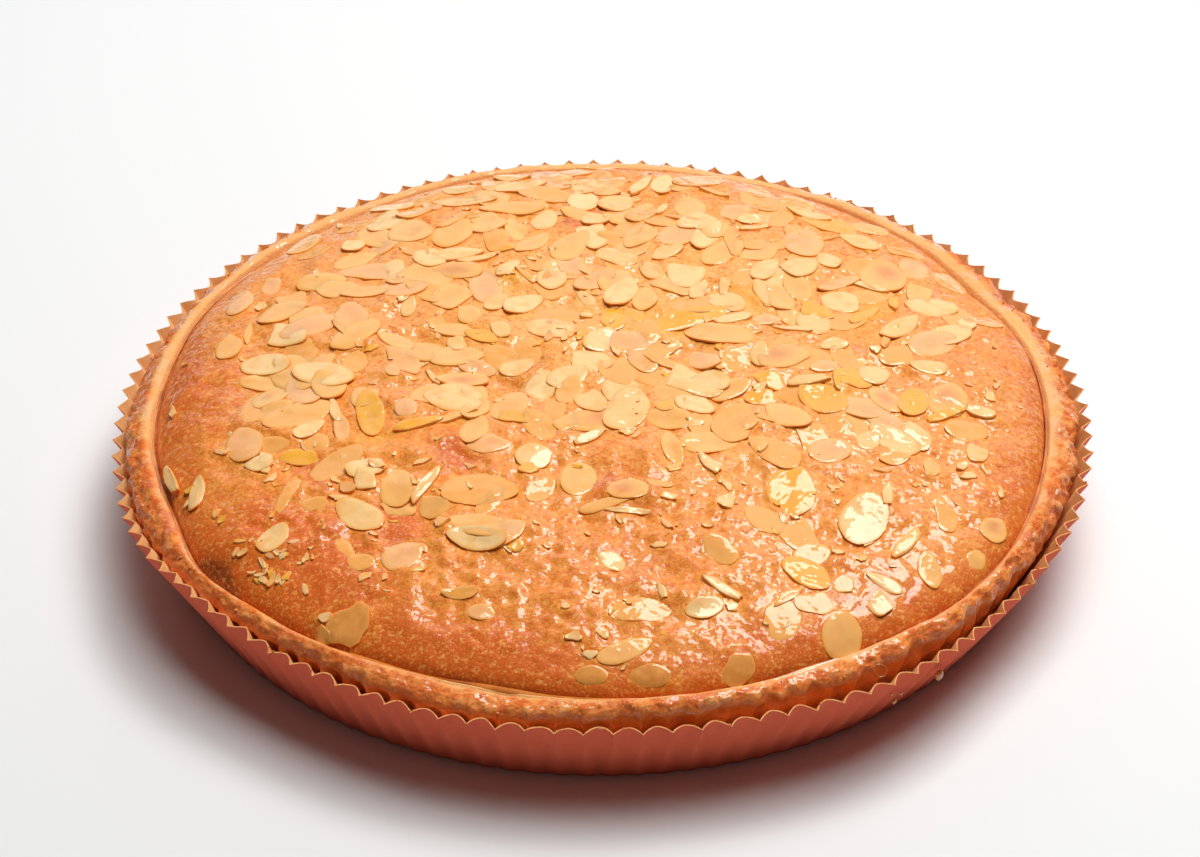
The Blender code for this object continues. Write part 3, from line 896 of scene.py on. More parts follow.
class TART_OT_crust(bpy.types.Operator):
    """Models the pastry shell with its craggy rim."""

    bl_idname = "tart.crust"
    bl_label = "Crust"

    def execute(self, context):
        settings = context.scene.tart_crust
        around = FLUTES * 14
        over = np.linspace(1.0, 0.0, 34)
        wall = np.linspace(0.0, 0.97, 11)
        down = np.linspace(0.15, 1.0, 5)
        rows = 1 + len(wall) + 1 + len(over) + len(down) + 1
        item, ring, angles = ring_tube(around, rows)
        angle = np.arange(around) * 360.0 / around
        fold = flute(angle)
        crease = crease_radius(angle)
        edge = crust_edge_radius(angle, fold)
        full = crust_fullness(angle)
        crease_top = CASE_HEIGHT + CREASE_HEIGHT + uneven(angle, BACK_LIFT)
        radii = [np.zeros(around)]
        heights = [np.full(around, CRUST_BOTTOM)]
        top = np.minimum(case_rim_height(angle), rim_height(angle, np.ones(around)))
        for share in wall:
            under = WALL_RECESS * (1.0 - full) * ramp(share, 0.3, 0.4)
            height = CRUST_BOTTOM + share * (top - 0.9 - 1.8 * full - CRUST_BOTTOM)
            lean = height / case_rim_height(angle)
            shrunk = np.minimum(crust_wall_radius(angle, lean, 0.48 + 0.2 * fold), edge + 0.4) - under
            pressed = crust_wall_radius(angle, lean, 0.9 * fold) - 0.3
            radii.append(shrunk * (1.0 - full) + pressed * full)
            heights.append(height)
        radii.append(edge + (radii[-1] - edge) * full - 0.25 * (1.0 - full))
        heights.append(rim_height(angle, np.ones(around)) - 0.7 - 1.2 * full)
        for across in over:
            radii.append(crease + across * (edge - crease))
            heights.append(rim_height(angle, np.full(around, across)))
        for share in down:
            radii.append(crease + share * (CRUST_INNER_BASE_RADIUS - crease))
            heights.append(crease_top + share * (CRUST_FLOOR - crease_top))
        radii.append(np.zeros(around))
        heights.append(np.full(around, CRUST_FLOOR))
        place = np.round(angles * around / 360.0).astype(int) % around
        radii = np.stack(radii)[ring, place]
        heights = np.stack(heights)[ring, place]
        move_points(item, round_points(radii, angles, heights))
        # How far across the rim each row lies: above 1 on the outer wall, below 0 on the inner one
        inner = np.full(len(down) + 1, -0.2)
        across = np.concatenate(([2.0], np.full(len(wall), 1.3), [1.15], over, inner))
        mark(item, "row", across[ring])
        edit(item, "VERT")
        bpy.ops.mesh.select_all(action="SELECT")
        bpy.ops.mesh.remove_doubles(threshold=0.005 * MM)
        bpy.ops.mesh.delete_loose(use_verts=True, use_edges=True, use_faces=False)
        close_outward()
        layer = item.data.attributes["row"]
        across = np.empty(len(item.data.vertices), dtype=np.float32)
        layer.data.foreach_get("value", across)
        points = points_of(item)
        turned = np.degrees(np.arctan2(points[:, 1], points[:, 0])) % 360.0
        item.data.attributes.remove(layer)
        browned = np.minimum(1.8, uneven(turned, BROWNING))
        mark(item, "across", across + 0.25 * browned * (across < 1.1))
        outer = ramp(across, 0.3, 0.45) * (across < 1.5)
        outer = np.where(across > 1.1, 0.25 * (1.0 - crust_fullness(turned)), outer)
        lip = np.clip(across / 0.2, 0.0, 1.0) * (across < 1.1)
        craggy = weight_group(item, "craggy", outer)
        lipped = weight_group(item, "lip", lip)
        before = points_of(item)
        normals = normals_of(item)
        bpy.ops.object.shade_smooth()
        roughen(item, "CLOUDS", 4.5, settings.crag_height / MM, craggy, 2)
        roughen(item, "CLOUDS", 1.6, settings.crumb_height / MM, craggy, 2)
        patchy = np.minimum(1.0, 0.15 + uneven(turned, CRUST_CRAGGY))
        crumbly = weight_group(item, "crumbly", outer * patchy)
        roughen(item, "VORONOI", 3.1, 0.85, crumbly)
        roughen(item, "CLOUDS", 1.8, 1.5, crumbly, 2)
        roughen(item, "CLOUDS", 7.0, 0.6, lipped, 1)
        roughen(item, "CLOUDS", 1.8, 0.12, lipped, 2)
        relief = relief_since(item, before, normals)
        # The relief, which the finish paints darker in its hollows as shade and lighter on its crags as
        # highlight
        mark(item, "crag", relief * (across < 1.1) * (across > 0.0))
        finish_piece(item, "crust_pastry", [crust_finish(settings)], ["crust"])
        return {"FINISHED"}


# The flaked almonds: where they lie


class Bed:
    """What the flakes lie on: heights on a fine grid, raised as each flake is laid."""

    cell = 0.5
    reach = 118.0

    def __init__(self):
        places = np.arange(-self.reach, self.reach + self.cell, self.cell)
        self.x, self.y = np.meshgrid(places, places, indexing="ij")
        self.top = skin_height(self.x, self.y)
        self.skin = self.top.copy()
        self.film = np.zeros_like(self.top)
        self.cover = np.zeros_like(self.top)
        self.lid = np.full_like(self.top, 2.0 * HIGHEST)

    def window(self, x, y, reach):
        low_x = max(0, int((x - reach + self.reach) / self.cell))
        low_y = max(0, int((y - reach + self.reach) / self.cell))
        size = int(2 * reach / self.cell) + 2
        return slice(low_x, low_x + size), slice(low_y, low_y + size)

    def sample(self, layer, x, y):
        """Values of a layer at any places, evenly blended between its cells."""
        fx = np.clip((x + self.reach) / self.cell, 0.0, layer.shape[0] - 1.001)
        fy = np.clip((y + self.reach) / self.cell, 0.0, layer.shape[1] - 1.001)
        ix, iy = fx.astype(int), fy.astype(int)
        rx, ry = fx - ix, fy - iy
        low = layer[ix, iy] * (1.0 - rx) + layer[ix + 1, iy] * rx
        high = layer[ix, iy + 1] * (1.0 - rx) + layer[ix + 1, iy + 1] * rx
        return low * (1.0 - ry) + high * ry


class Laid:
    """One flake after it has settled: its middle, its own axes and how it gives to its bed."""

    def __init__(self, bed, row, tone, draw, thickness):
        self.x, self.y, self.length, self.width, self.turn, self.kind = row
        self.tone = tone
        self.seed = draw.random()
        thick = {"stick": 1.7, "bit": 1.6, "clear": 0.75}
        thicker = thick.get(self.kind, thick.get(tone, 1.0))
        self.thickness = thickness * thicker * draw.uniform(0.85, 1.15)
        spot = bed.window(self.x, self.y, 0.55 * max(self.length, self.width) + 2.5)
        dx = bed.x[spot] - self.x
        dy = bed.y[spot] - self.y
        here = bed.top[spot]
        c, s = math.cos(math.radians(self.turn)), math.sin(math.radians(self.turn))
        along = dx * c + dy * s
        across = dy * c - dx * s
        inside = (2 * along / self.length) ** 2 + (2 * across / self.width) ** 2 < 1.0
        if inside.sum() < 6:
            inside = np.hypot(dx, dy) < 1.2
        terms = np.stack((np.ones(inside.sum()), dx[inside], dy[inside]), axis=1)
        fit = np.linalg.lstsq(terms, here[inside], rcond=None)[0]
        lean = draw.gauss(0.0, 0.03) if self.kind != "stick" else draw.gauss(0.0, 0.06)
        own = dome_slope(self.x, self.y)
        tilt = (fit[1] - own[0], fit[2] - own[1])
        steep = min(1.0, 0.2 / max(1e-6, math.hypot(*tilt)))
        self.slope = (own[0] + tilt[0] * steep - lean * s, own[1] + tilt[1] * steep + lean * c)
        plane = fit[0] + self.slope[0] * dx + self.slope[1] * dy
        rest = np.quantile((here - plane)[inside], 0.75)
        sink = 0.4 if tone == "clear" else 0.25
        self.z = fit[0] + max(0.0, rest) - sink
        highest = (plane - fit[0] + self.z)[inside].max() + self.thickness
        self.z -= max(0.0, highest - HIGHEST + 0.15)
        normal = Vector((-self.slope[0], -self.slope[1], 1.0)).normalized()
        first = Vector((c, s, self.slope[0] * c + self.slope[1] * s)).normalized()
        self.axes = np.array((first, normal.cross(first), normal))
        self.curl = draw.gauss(0.0, 0.25) + (0.25 if tone == "cream" else 0.0)
        plane = self.z + self.slope[0] * dx + self.slope[1] * dy
        stretch = np.stack((dx, dy, plane - self.z), axis=-1) @ self.axes.T
        ahead, aside = 2 * stretch[..., 0] / self.length, 2 * stretch[..., 1] / self.width
        reach = np.sqrt(ahead**2 + aside**2)
        under = reach < 1.0
        away = np.maximum(0.0, reach - 1.0) * 0.25 * (self.length + self.width)
        stands = np.clip((plane + self.thickness - here) / 0.8, 0.0, 1.0)
        ring = np.exp(-(away**2)) * stands * ~under
        bed.film[spot] = np.maximum(bed.film[spot] * ~under, ring)
        bed.cover[spot] = np.maximum(bed.cover[spot], under)
        bed.lid[spot] = np.where(under, np.minimum(bed.lid[spot], plane + 0.1), bed.lid[spot])
        bed.top[spot] = np.where(under, np.maximum(here, plane + self.thickness), here)


@functools.cache
def laid_flakes():
    """All flakes and chips in the order they fall, and the bed after it."""
    settings = bpy.context.scene.tart_flakes
    draw = random.Random(41)
    bed = Bed()
    thickness = settings.thickness / MM
    rows = [(row, tone) for tone, group in PLACED_FLAKES.items() for row in group]
    read = len(rows)
    tones = ["cream"] * 6 + ["gold"] * 7 + ["clear"] * 10 + ["pink"] * 3 + ["toasted"] + ["yellow"]
    kinds = ["oval"] * 5 + ["leaf"] * 8 + ["half"] * 6 + ["stick"] * 2
    tries = 0
    while len(rows) < settings.flakes and tries < 40000:
        tries += 1
        turn = draw.uniform(0.0, math.tau)
        reach = (CREASE_RADIUS - 7.0) * math.sqrt(draw.random())
        x, y = reach * math.cos(turn), reach * math.sin(turn)
        bare = patches_at(x, y, BARE_PATCHES)
        if draw.random() < bare * 1.15 or (y < -28.0 and draw.random() < 0.85):
            continue
        if any(math.hypot(x - row[0], y - row[1]) < FLAKE_SPACING for row, _ in rows):
            continue
        length = draw.triangular(8.0, 18.0, 12.5)
        kind = draw.choice(kinds)
        width = length * (draw.uniform(0.5, 0.75) if kind != "stick" else draw.uniform(0.18, 0.28))
        rows.append(((x, y, length, width, draw.uniform(0.0, 180.0), kind), draw.choice(tones)))
    # The chips lie lowest, and the flakes read from the photograph on top
    chips = []
    while len(chips) < settings.chips:
        turn = draw.uniform(0.0, math.tau)
        reach = (CREASE_RADIUS - 4.0) * math.sqrt(draw.random())
        x, y = reach * math.cos(turn), reach * math.sin(turn)
        if len(chips) < HEAPED_CHIPS:
            x, y = draw.gauss(HEAP_X, 7.0), draw.gauss(HEAP_Y, 4.5)
            if math.hypot(x, y) > CREASE_RADIUS - 2.5:
                continue
        elif draw.random() > 0.12 + patches_at(x, y, CHIP_PATCHES):
            continue
        length = draw.triangular(1.4, 6.5, 2.2)
        width = max(0.8, length * draw.uniform(0.25, 0.7))
        kind = "stick" if width < 0.4 * length else "bit"
        tone = draw.choice(("cream", "cream", "cream", "gold", "pink", "yellow"))
        chips.append(Laid(bed, (x, y, length, width, draw.uniform(0.0, 180.0), kind), tone, draw, 0.3))
    order = rows[read:] + sorted(rows[:read], key=lambda pair: pair[1] != "clear")
    flakes = [Laid(bed, row, tone, draw, thickness) for row, tone in order]
    return flakes, chips, bed


# The sponge's skin


def skin_finish(settings):
    finish, tree, shader = new_finish("glazed sponge skin")
    place = place_in(tree)
    brown = marked(tree, "brown")
    pale = marked(tree, "pale")
    wet = marked(tree, "wet")
    seam = marked(tree, "seam")
    pit = marked(tree, "pit")
    broad = noise(tree, place, 26.0, 2.0, 0.5)
    middling = noise(tree, place, 4.0, 3.0, 0.6)
    small = noise(tree, place, 1.3, 3.0, 0.6)
    fine = noise(tree, place, 0.6, 2.0, 0.6)
    pores = cells(tree, place, 1.3)
    baked = plus(tree, brown, swing(tree, middling, 0.9))
    baked = plus(tree, baked, swing(tree, broad, 0.6))
    light = plus(tree, pale, swing(tree, middling, 0.7))
    colour = blend(tree, between(tree, light, 0.0, 0.8), settings.golden, settings.pale)
    colour = layered(tree, colour, (
        (between(tree, baked, 0.0, 0.6), settings.deep),
        # Reached where the skin is browned most, and in the hollows beside the crust as painted shade
        (between(tree, baked, 0.95, 1.6, 0.0, 0.9), settings.burnt_and_cavity_shade),
        (between(tree, small, 0.5, 0.7, 0.0, 0.75), settings.deep),
        (between(tree, small, 0.48, 0.3, 0.0, 0.7), settings.pale),
        (wet, settings.wet),
    ))
    dark = times(tree, between(tree, pores, 0.32, 0.1), between(tree, fine, 0.4, 0.6))
    colour = layered(tree, colour, (
        (times(tree, dark, 0.45), settings.deep),
        # Darker in the sunken pits of the relief: painted shade
        (between(tree, pit, -0.02, -0.14, 0.0, 0.4), settings.deep),
        (between(tree, fine, 0.53, 0.66, 0.0, 0.45), settings.deep),
        (between(tree, fine, 0.45, 0.32, 0.0, 0.4), settings.pale),
        (times(tree, seam, 0.35), settings.wet),
    ))
    tree.links.new(colour, shader.inputs["Base Color"])
    set_values(shader, {
        "Roughness": 0.5,
        "Specular IOR Level": 0.3,
        "Subsurface Weight": 0.1,
        "Subsurface Radius": (0.004, 0.0016, 0.0006),
        "Subsurface Scale": 0.5,
        "Coat IOR": 1.45,
        "Coat Roughness": 0.03,
    })
    dry = marked(tree, "dry")
    sleek = marked(tree, "sleek")
    soaked = plus(tree, noise(tree, place, 11.0, 2.0, 0.5), times(tree, sleek, 0.3))
    glossy = between(tree, soaked, 0.42, 0.56, 0.3, 1.0)
    glossy = times(tree, glossy, between(tree, dry, 0.0, 1.0, 1.0, 0.15))
    tree.links.new(glossy, shader.inputs["Coat Weight"])
    grain = bump(tree, small, 0.35, 0.8)
    grain = bump(tree, fine, 0.12, 0.6, grain)
    tree.links.new(grain, shader.inputs["Normal"])
    film = bump(tree, noise(tree, place, 1.7, 0.5, 0.5), 0.48, 0.7)
    tree.links.new(between(tree, sleek, 0.0, 1.0, 1.0, 0.15), film.node.inputs["Strength"])
    tree.links.new(film, shader.inputs["Coat Normal"])
    return finish


class TART_OT_filling_skin(bpy.types.Operator):
    """Models the filling's glazed skin, down to its foot inside the crust."""

    bl_idname = "tart.filling_skin"
    bl_label = "Filling"

    def execute(self, context):
        settings = context.scene.tart_filling
        _, _, bed = laid_flakes()
        squares = 300
        clear_selection()
        bpy.ops.mesh.primitive_grid_add(
            x_subdivisions=squares, y_subdivisions=squares, size=2.0, location=(0.0, 0.0, 0.0)
        )
        item = context.object
        points = points_of(item) * MM
        a, b = points[:, 0], points[:, 1]
        # Squares become rings: the larger coordinate is the radius, the other the way round it
        big = np.maximum(np.abs(a), np.abs(b))
        wide = np.abs(a) >= np.abs(b)
        safe = np.where(big > 1e-9, big, 1.0)
        turn = np.where(
            wide,
            np.pi / 4.0 * b / np.where(wide, np.where(a == 0.0, safe, a), safe),
            np.pi / 2.0 - np.pi / 4.0 * a / np.where(wide, safe, np.where(b == 0.0, safe, b)),
        )
        turn = turn + np.where(wide, a < 0.0, b < 0.0) * np.pi
        share = 0.7 * big + 0.3 * np.sin(0.5 * np.pi * big)
        angle = np.degrees(turn)
        radius = share * (crease_radius(angle) - DOME_INSET)
        x, y = radius * np.cos(turn), radius * np.sin(turn)
        film = bed.sample(bed.film, x, y)
        cover = bed.sample(bed.cover, x, y)
        cavity = patches(x, y, CAVITIES)
        sunk = ramp(share, 0.9, 0.1) * uneven(angle, SUNK_EDGE) + CAVITY_DEPTH * cavity
        z = skin_height(x, y) + settings.meniscus / MM * film * (share < 0.985)
        z = np.minimum(z, bed.sample(bed.lid, x, y))
        edge = CASE_HEIGHT + DOME_EDGE_HEIGHT + uneven(angle, BACK_LIFT)
        z = np.where(share > 0.999, edge, z) - sunk
        move_points(item, np.stack((x, y, z), axis=1))
        browned = patches(x, y, BROWN_PATCHES) + 0.35 * ramp(share, 0.9, 0.1)
        # The hollows beside the crust count far browner, so that they are painted dark as shade
        mark(item, "brown", browned + 2.0 * cavity)
        mark(item, "pale", patches(x, y, PALE_PATCHES))
        mark(item, "wet", patches(x, y, WET_PATCHES))
        mark(item, "seam", film)
        sleek = patches(x, y, SLEEK_PATCHES)
        mark(item, "sleek", np.maximum(film, sleek))
        mark(item, "dry", ramp(share, 0.93, 0.04) * uneven(angle, DRY_EDGE))
        loose = np.clip((1.0 - share) / 0.03, 0.0, 1.0) * (1.0 - cover) * (1.0 - 0.85 * sleek)
        grainy = weight_group(item, "grainy", loose)
        before = points_of(item)
        normals = normals_of(item)
        grain = settings.grain_height / MM
        roughen(item, "CLOUDS", 3.6, grain * 1.5, grainy, 1)
        roughen(item, "VORONOI", 1.7, -0.3 * grain, grainy)
        # The relief, which the finish paints darker in its pits as shade
        mark(item, "pit", relief_since(item, before, normals))
        edit(item, "EDGE")
        bpy.ops.mesh.select_all(action="DESELECT")
        bpy.ops.mesh.select_non_manifold()
        drop = (CASE_HEIGHT + DOME_EDGE_HEIGHT - FOOT_HEIGHT) / 2.0 * MM
        narrow = (FOOT_RADIUS / (CREASE_RADIUS - DOME_INSET)) ** 0.5
        for _ in range(2):
            bpy.ops.mesh.extrude_region_move(TRANSFORM_OT_translate={"value": (0.0, 0.0, -drop)})
            bpy.ops.transform.resize(value=(narrow, narrow, 1.0), center_override=(0.0, 0.0, 0.0))
        bpy.ops.mesh.edge_face_add()
        close_outward()
        bpy.ops.object.shade_smooth_by_angle(angle=math.radians(70.0))
        finish_piece(item, "filling_skin", [skin_finish(settings)], ["filling"])
        return {"FINISHED"}


# The flaked almonds: their shapes


@functools.cache
def flake_model(kind):
    """One flake of a kind, one across and one thick: its points, faces and how near its rim."""
    sides = {"oval": 26, "leaf": 26, "half": 28, "stick": 14, "bit": 14}[kind]
    clear_selection()
    bpy.ops.mesh.primitive_circle_add(
        vertices=sides, radius=0.5, fill_type="NGON", location=(0.0, 0.0, 0.0)
    )
    item = bpy.context.object
    edit(item, "FACE")
    bpy.ops.mesh.select_all(action="SELECT")
    bpy.ops.mesh.extrude_region_move(TRANSFORM_OT_translate={"value": (0.0, 0.0, 0.75)})
    bpy.ops.mesh.inset(thickness=0.04, depth=0.25)
    if kind not in {"stick", "bit"}:
        bpy.ops.mesh.inset(thickness=0.1, depth=0.03)
        bpy.ops.mesh.inset(thickness=0.16, depth=0.03)
        bpy.ops.mesh.poke()
    else:
        bpy.ops.mesh.inset(thickness=0.14, depth=0.0)
    close_outward()
    points = points_of(item) * MM
    faces = [tuple(face.vertices) for face in item.data.polygons]
    rim = np.clip((np.hypot(points[:, 0], points[:, 1]) - 0.3) / 0.18, 0.0, 1.0)
    bpy.data.objects.remove(item, do_unlink=True)
    return points, faces, rim


def broken_edges(kind, draw):
    """Straight breaks across a flake: the way each one faces, and how far out it is."""
    if kind == "half":
        breaks = [(draw.gauss(0.0, 0.25), draw.uniform(0.2, 0.3))]
        if draw.random() < 0.5:
            breaks.append((draw.choice((-1.0, 1.0)) * draw.uniform(1.2, 1.9), draw.uniform(0.3, 0.4)))
    elif kind == "bit":
        start = draw.uniform(0.0, math.tau)
        count = draw.choice((3, 4, 4))
        breaks = [
            (start + math.tau * (side + draw.uniform(-0.2, 0.2)) / count, draw.uniform(0.3, 0.42))
            for side in range(count)
        ]
    elif kind == "stick":
        breaks = [(draw.gauss(0.0, 0.3), 0.4), (math.pi + draw.gauss(0.0, 0.3), 0.42)]
    else:
        breaks = []
    return breaks


def shaped_flake(bed, laid):
    """The flake's own outline, bend and thickness, where it lies."""
    model, faces, rim = flake_model(laid.kind)
    draw = random.Random(int(laid.seed * 1e9))
    u, v, w = model[:, 0].copy(), model[:, 1].copy(), model[:, 2]
    about = np.arctan2(v, u)
    for facing, out in broken_edges(laid.kind, draw):
        shrink = np.minimum(1.0, out / (0.5 * np.maximum(0.01, np.cos(about - facing))))
        u *= shrink
        v *= shrink
    pointed = {"leaf": 0.5, "oval": 0.25, "half": 0.2, "stick": 0.3, "bit": 0.1}[laid.kind]
    taper = draw.uniform(0.5, 1.0) * pointed
    u *= draw.choice((-1.0, 1.0)) if laid.kind != "half" else 1.0
    v *= 1.0 - 0.3 * taper * 2.0 * u - 0.6 * taper * np.maximum(0.0, 2.0 * u) ** 2
    about = np.arctan2(v, u)
    uneven_by = {"bit": 0.13, "stick": 0.08, "half": 0.05}.get(laid.kind, 0.025)
    for cycle in (2, 3, 5):
        swell = 1.0 + uneven_by * draw.uniform(0.4, 1.0) * np.sin(cycle * about + draw.uniform(0.0, 6.3))
        u *= swell
        v *= swell
    bow = draw.gauss(0.0, 0.05)
    v += bow * ((2.0 * u) ** 2 - 0.3)
    along, across = u * laid.length, v * laid.width
    bend = laid.curl * (2.0 * u) ** 2 + draw.gauss(0.0, 0.12) * (2.0 * v) ** 2
    ruffle = draw.gauss(0.0, 0.1) * np.sin(about * 3.0 + draw.uniform(0.0, 6.3))
    bend += ruffle * (2.0 * np.hypot(u, v)) ** 2
    swollen = 0.12 * np.sin(2.0 * about + draw.uniform(0.0, 6.3)) * np.minimum(1.0, 2.0 * np.hypot(u, v))
    thick = laid.thickness * w * (1.0 + swollen)
    local = np.stack((along, across, np.maximum(bend, -0.3) + thick - 0.15 * (w < 0.01)), axis=1)
    points = local @ laid.axes + np.array((laid.x, laid.y, laid.z))
    plane = laid.z + laid.slope[0] * (points[:, 0] - laid.x) + laid.slope[1] * (points[:, 1] - laid.y)
    # A flake gives a little to the skin under it
    give = bed.sample(bed.skin, points[:, 0], points[:, 1]) - plane
    points[:, 2] += np.clip(0.3 * give, -0.5, 0.3)
    points[:, 2] = np.minimum(points[:, 2], HIGHEST)
    return (points, faces), rim, model


TONES = ("cream", "gold", "clear", "pink", "toasted", "yellow", "amber")


def almond_finish(settings):
    """Almond under glaze: the tone of each flake, a browned middle and a darker rim."""
    finish, tree, shader = new_finish("glazed almond")
    place = place_in(tree)
    rim = marked(tree, "rim")
    heart = marked(tree, "heart")
    shade = marked(tree, "shade")
    colour = settings.cream
    for tone in TONES[1:]:
        this = getattr(settings, "gold" if tone == "toasted" else tone)
        colour = blend(tree, marked(tree, f"is_{tone}"), colour, this)
    fibres = noise(tree, place, 2.4, 3.0, 0.6)
    colour = blend(tree, between(tree, fibres, 0.42, 0.7, 0.0, 0.35), colour, settings.gold)
    colour = blend(tree, between(tree, shade, 0.0, 1.0, 0.0, 0.35), colour, settings.clear)
    stain = noise(tree, place, 5.0, 1.0, 0.5)
    colour = layered(tree, colour, (
        (between(tree, stain, 0.5, 0.72, 0.0, 0.45), settings.clear),
        (heart, settings.toasted),
        (between(tree, rim, 0.55, 1.0, 0.0, 0.35), settings.clear),
    ))
    side = marked(tree, "side")
    colour = blend(tree, times(tree, side, 0.9), colour, settings.edge)
    tree.links.new(colour, shader.inputs["Base Color"])
    set_values(shader, {
        "Roughness": 0.5,
        "Specular IOR Level": 0.2,
        "Subsurface Weight": 0.2,
        "Subsurface Radius": (0.004, 0.002, 0.0008),
        "Subsurface Scale": 0.4,
        "Coat Weight": 1.0,
        "Coat Roughness": 0.06,
        "Coat IOR": 1.42,
    })
    tree.links.new(bump(tree, fibres, 0.15, 0.5), shader.inputs["Normal"])
    film = noise(tree, place, 2.8, 1.0, 0.5)
    tree.links.new(bump(tree, film, 0.5, 0.55), shader.inputs["Coat Normal"])
    return finish


def almond_piece(name, laid, bed, settings):
    parts = []
    marks = {key: [] for key in ("rim", "heart", "shade", "side", *(f"is_{t}" for t in TONES[1:]))}
    for one in laid:
        part, rim, model = shaped_flake(bed, one)
        parts.append(part)
        spread = random.Random(int(one.seed * 1e8))
        cx, cy = spread.uniform(-0.12, 0.12), spread.uniform(-0.08, 0.08)
        away = np.hypot(model[:, 0] - cx, model[:, 1] - cy) / 0.26
        heart = {"toasted": 0.75, "pink": 0.28, "gold": 0.2, "clear": 0.08}.get(one.tone, 0.0)
        marks["rim"].append(rim)
        marks["heart"].append(heart * np.exp(-(away**2)))
        marks["shade"].append(np.full(len(rim), spread.random()))
        marks["side"].append((model[:, 2] < 0.76).astype(float))
        for tone in TONES[1:]:
            marks[f"is_{tone}"].append(np.full(len(rim), float(one.tone == tone)))
    item = joined_mesh(name, parts, marks)
    clear_selection()
    item.select_set(True)
    bpy.context.view_layer.objects.active = item
    bpy.ops.object.shade_smooth_by_angle(angle=math.radians(48.0))
    finish_piece(item, name, [almond_finish(settings)])


class TART_OT_flakes(bpy.types.Operator):
    """Lays the flaked almonds and their chips on the skin."""

    bl_idname = "tart.flakes"
    bl_label = "Flaked almonds"

    def execute(self, context):
        settings = context.scene.tart_flakes
        flakes, chips, bed = laid_flakes()
        almond_piece("flaked_almonds", flakes, bed, settings)
        almond_piece("almond_chips", chips, bed, settings)
        return {"FINISHED"}


# Glaze and crumbs


def glaze_finish():
    finish, tree, shader = new_finish("amber glaze")
    depth = between(tree, noise(tree, place_in(tree), 8.0, 2.0), 0.35, 0.65)
    tree.links.new(blend(tree, depth, GLAZE_AMBER, GLAZE_DEEP), shader.inputs["Base Color"])
    set_values(shader, {
        "Roughness": 0.15,
        "Coat Weight": 1.0,
        "Coat Roughness": 0.04,
    })
    return finish


def glaze_drop(angle, radius, height, size):
    """A drop that hangs on the paper, flat towards it and longer below."""
    clear_selection()
    bpy.ops.mesh.primitive_ico_sphere_add(
        subdivisions=3, radius=0.5 * MM, location=(0.0, 0.0, 0.0)
    )
    drop = bpy.context.object
    points = points_of(drop) * size
    points[:, 0] *= 0.6
    points[:, 2] *= 1.0 + 0.3 * (points[:, 2] < 0.0)
    turn = math.radians(angle)
    ahead = points[:, 0] * math.cos(turn) - points[:, 1] * math.sin(turn)
    aside = points[:, 0] * math.sin(turn) + points[:, 1] * math.cos(turn)
    middle = np.array((radius * math.cos(turn), radius * math.sin(turn), height))
    move_points(drop, np.stack((ahead, aside, points[:, 2]), axis=1) + middle)
    return drop


def glaze_loop():
    """A thin thread of glaze in a loop on the paper's edge."""
    turn = math.radians(LOOP_ANGLE)
    middle = (LOOP_RADIUS * math.cos(turn) * MM, LOOP_RADIUS * math.sin(turn) * MM, LOOP_HEIGHT * MM)
    clear_selection()
    bpy.ops.mesh.primitive_torus_add(
        major_radius=1.5 * MM, minor_radius=0.2 * MM, major_segments=40, minor_segments=10,
        location=middle, rotation=(math.radians(35.0), math.radians(15.0), 0.0),
    )
    bpy.ops.object.transform_apply(location=True, rotation=True, scale=True)
    return bpy.context.object


class TART_OT_glaze_line(bpy.types.Operator):
    """Models the bead of glaze in the crease beside the crust, and the drops and loop outside it."""

    bl_idname = "tart.glaze_line"
    bl_label = "Glaze line"

    def execute(self, context):
        section = 8
        item, ring, angle = ring_tube(720, section)
        round_it = math.tau * ring / section
        out, up = 0.7 * np.cos(round_it), 0.7 * np.sin(round_it)
        front = np.clip(0.35 + 0.65 * uneven(angle, ((270.0, 70.0, 1.0),)), 0.0, 1.0)
        size = front * (1.0 + wave(angle, 53, 30, 0.35))
        size = np.clip(size, 0.25, 1.6)
        radius = crease_radius(angle) - 0.2 + out * size * 1.3
        height = CASE_HEIGHT + CREASE_HEIGHT + uneven(angle, BACK_LIFT) - 0.25 + up * size
        edit(item, "EDGE")
        bpy.ops.mesh.select_all(action="DESELECT")
        bpy.ops.mesh.select_non_manifold()
        bpy.ops.mesh.bridge_edge_loops()
        close_edit()
        move_points(item, round_points(radius, angle, height))
        edit(item, "FACE")
        close_outward()
        bpy.ops.object.shade_smooth()
        finish = glaze_finish()
        finish_piece(item, "glaze_line", [finish])
        drops = [glaze_drop(*row) for row in GLAZE_DROPS]
        loop = glaze_loop()
        for drop in drops:
            drop.select_set(True)
        bpy.ops.object.join()
        bpy.ops.object.shade_smooth()
        finish_piece(loop, "glaze_drops", [finish])
        return {"FINISHED"}


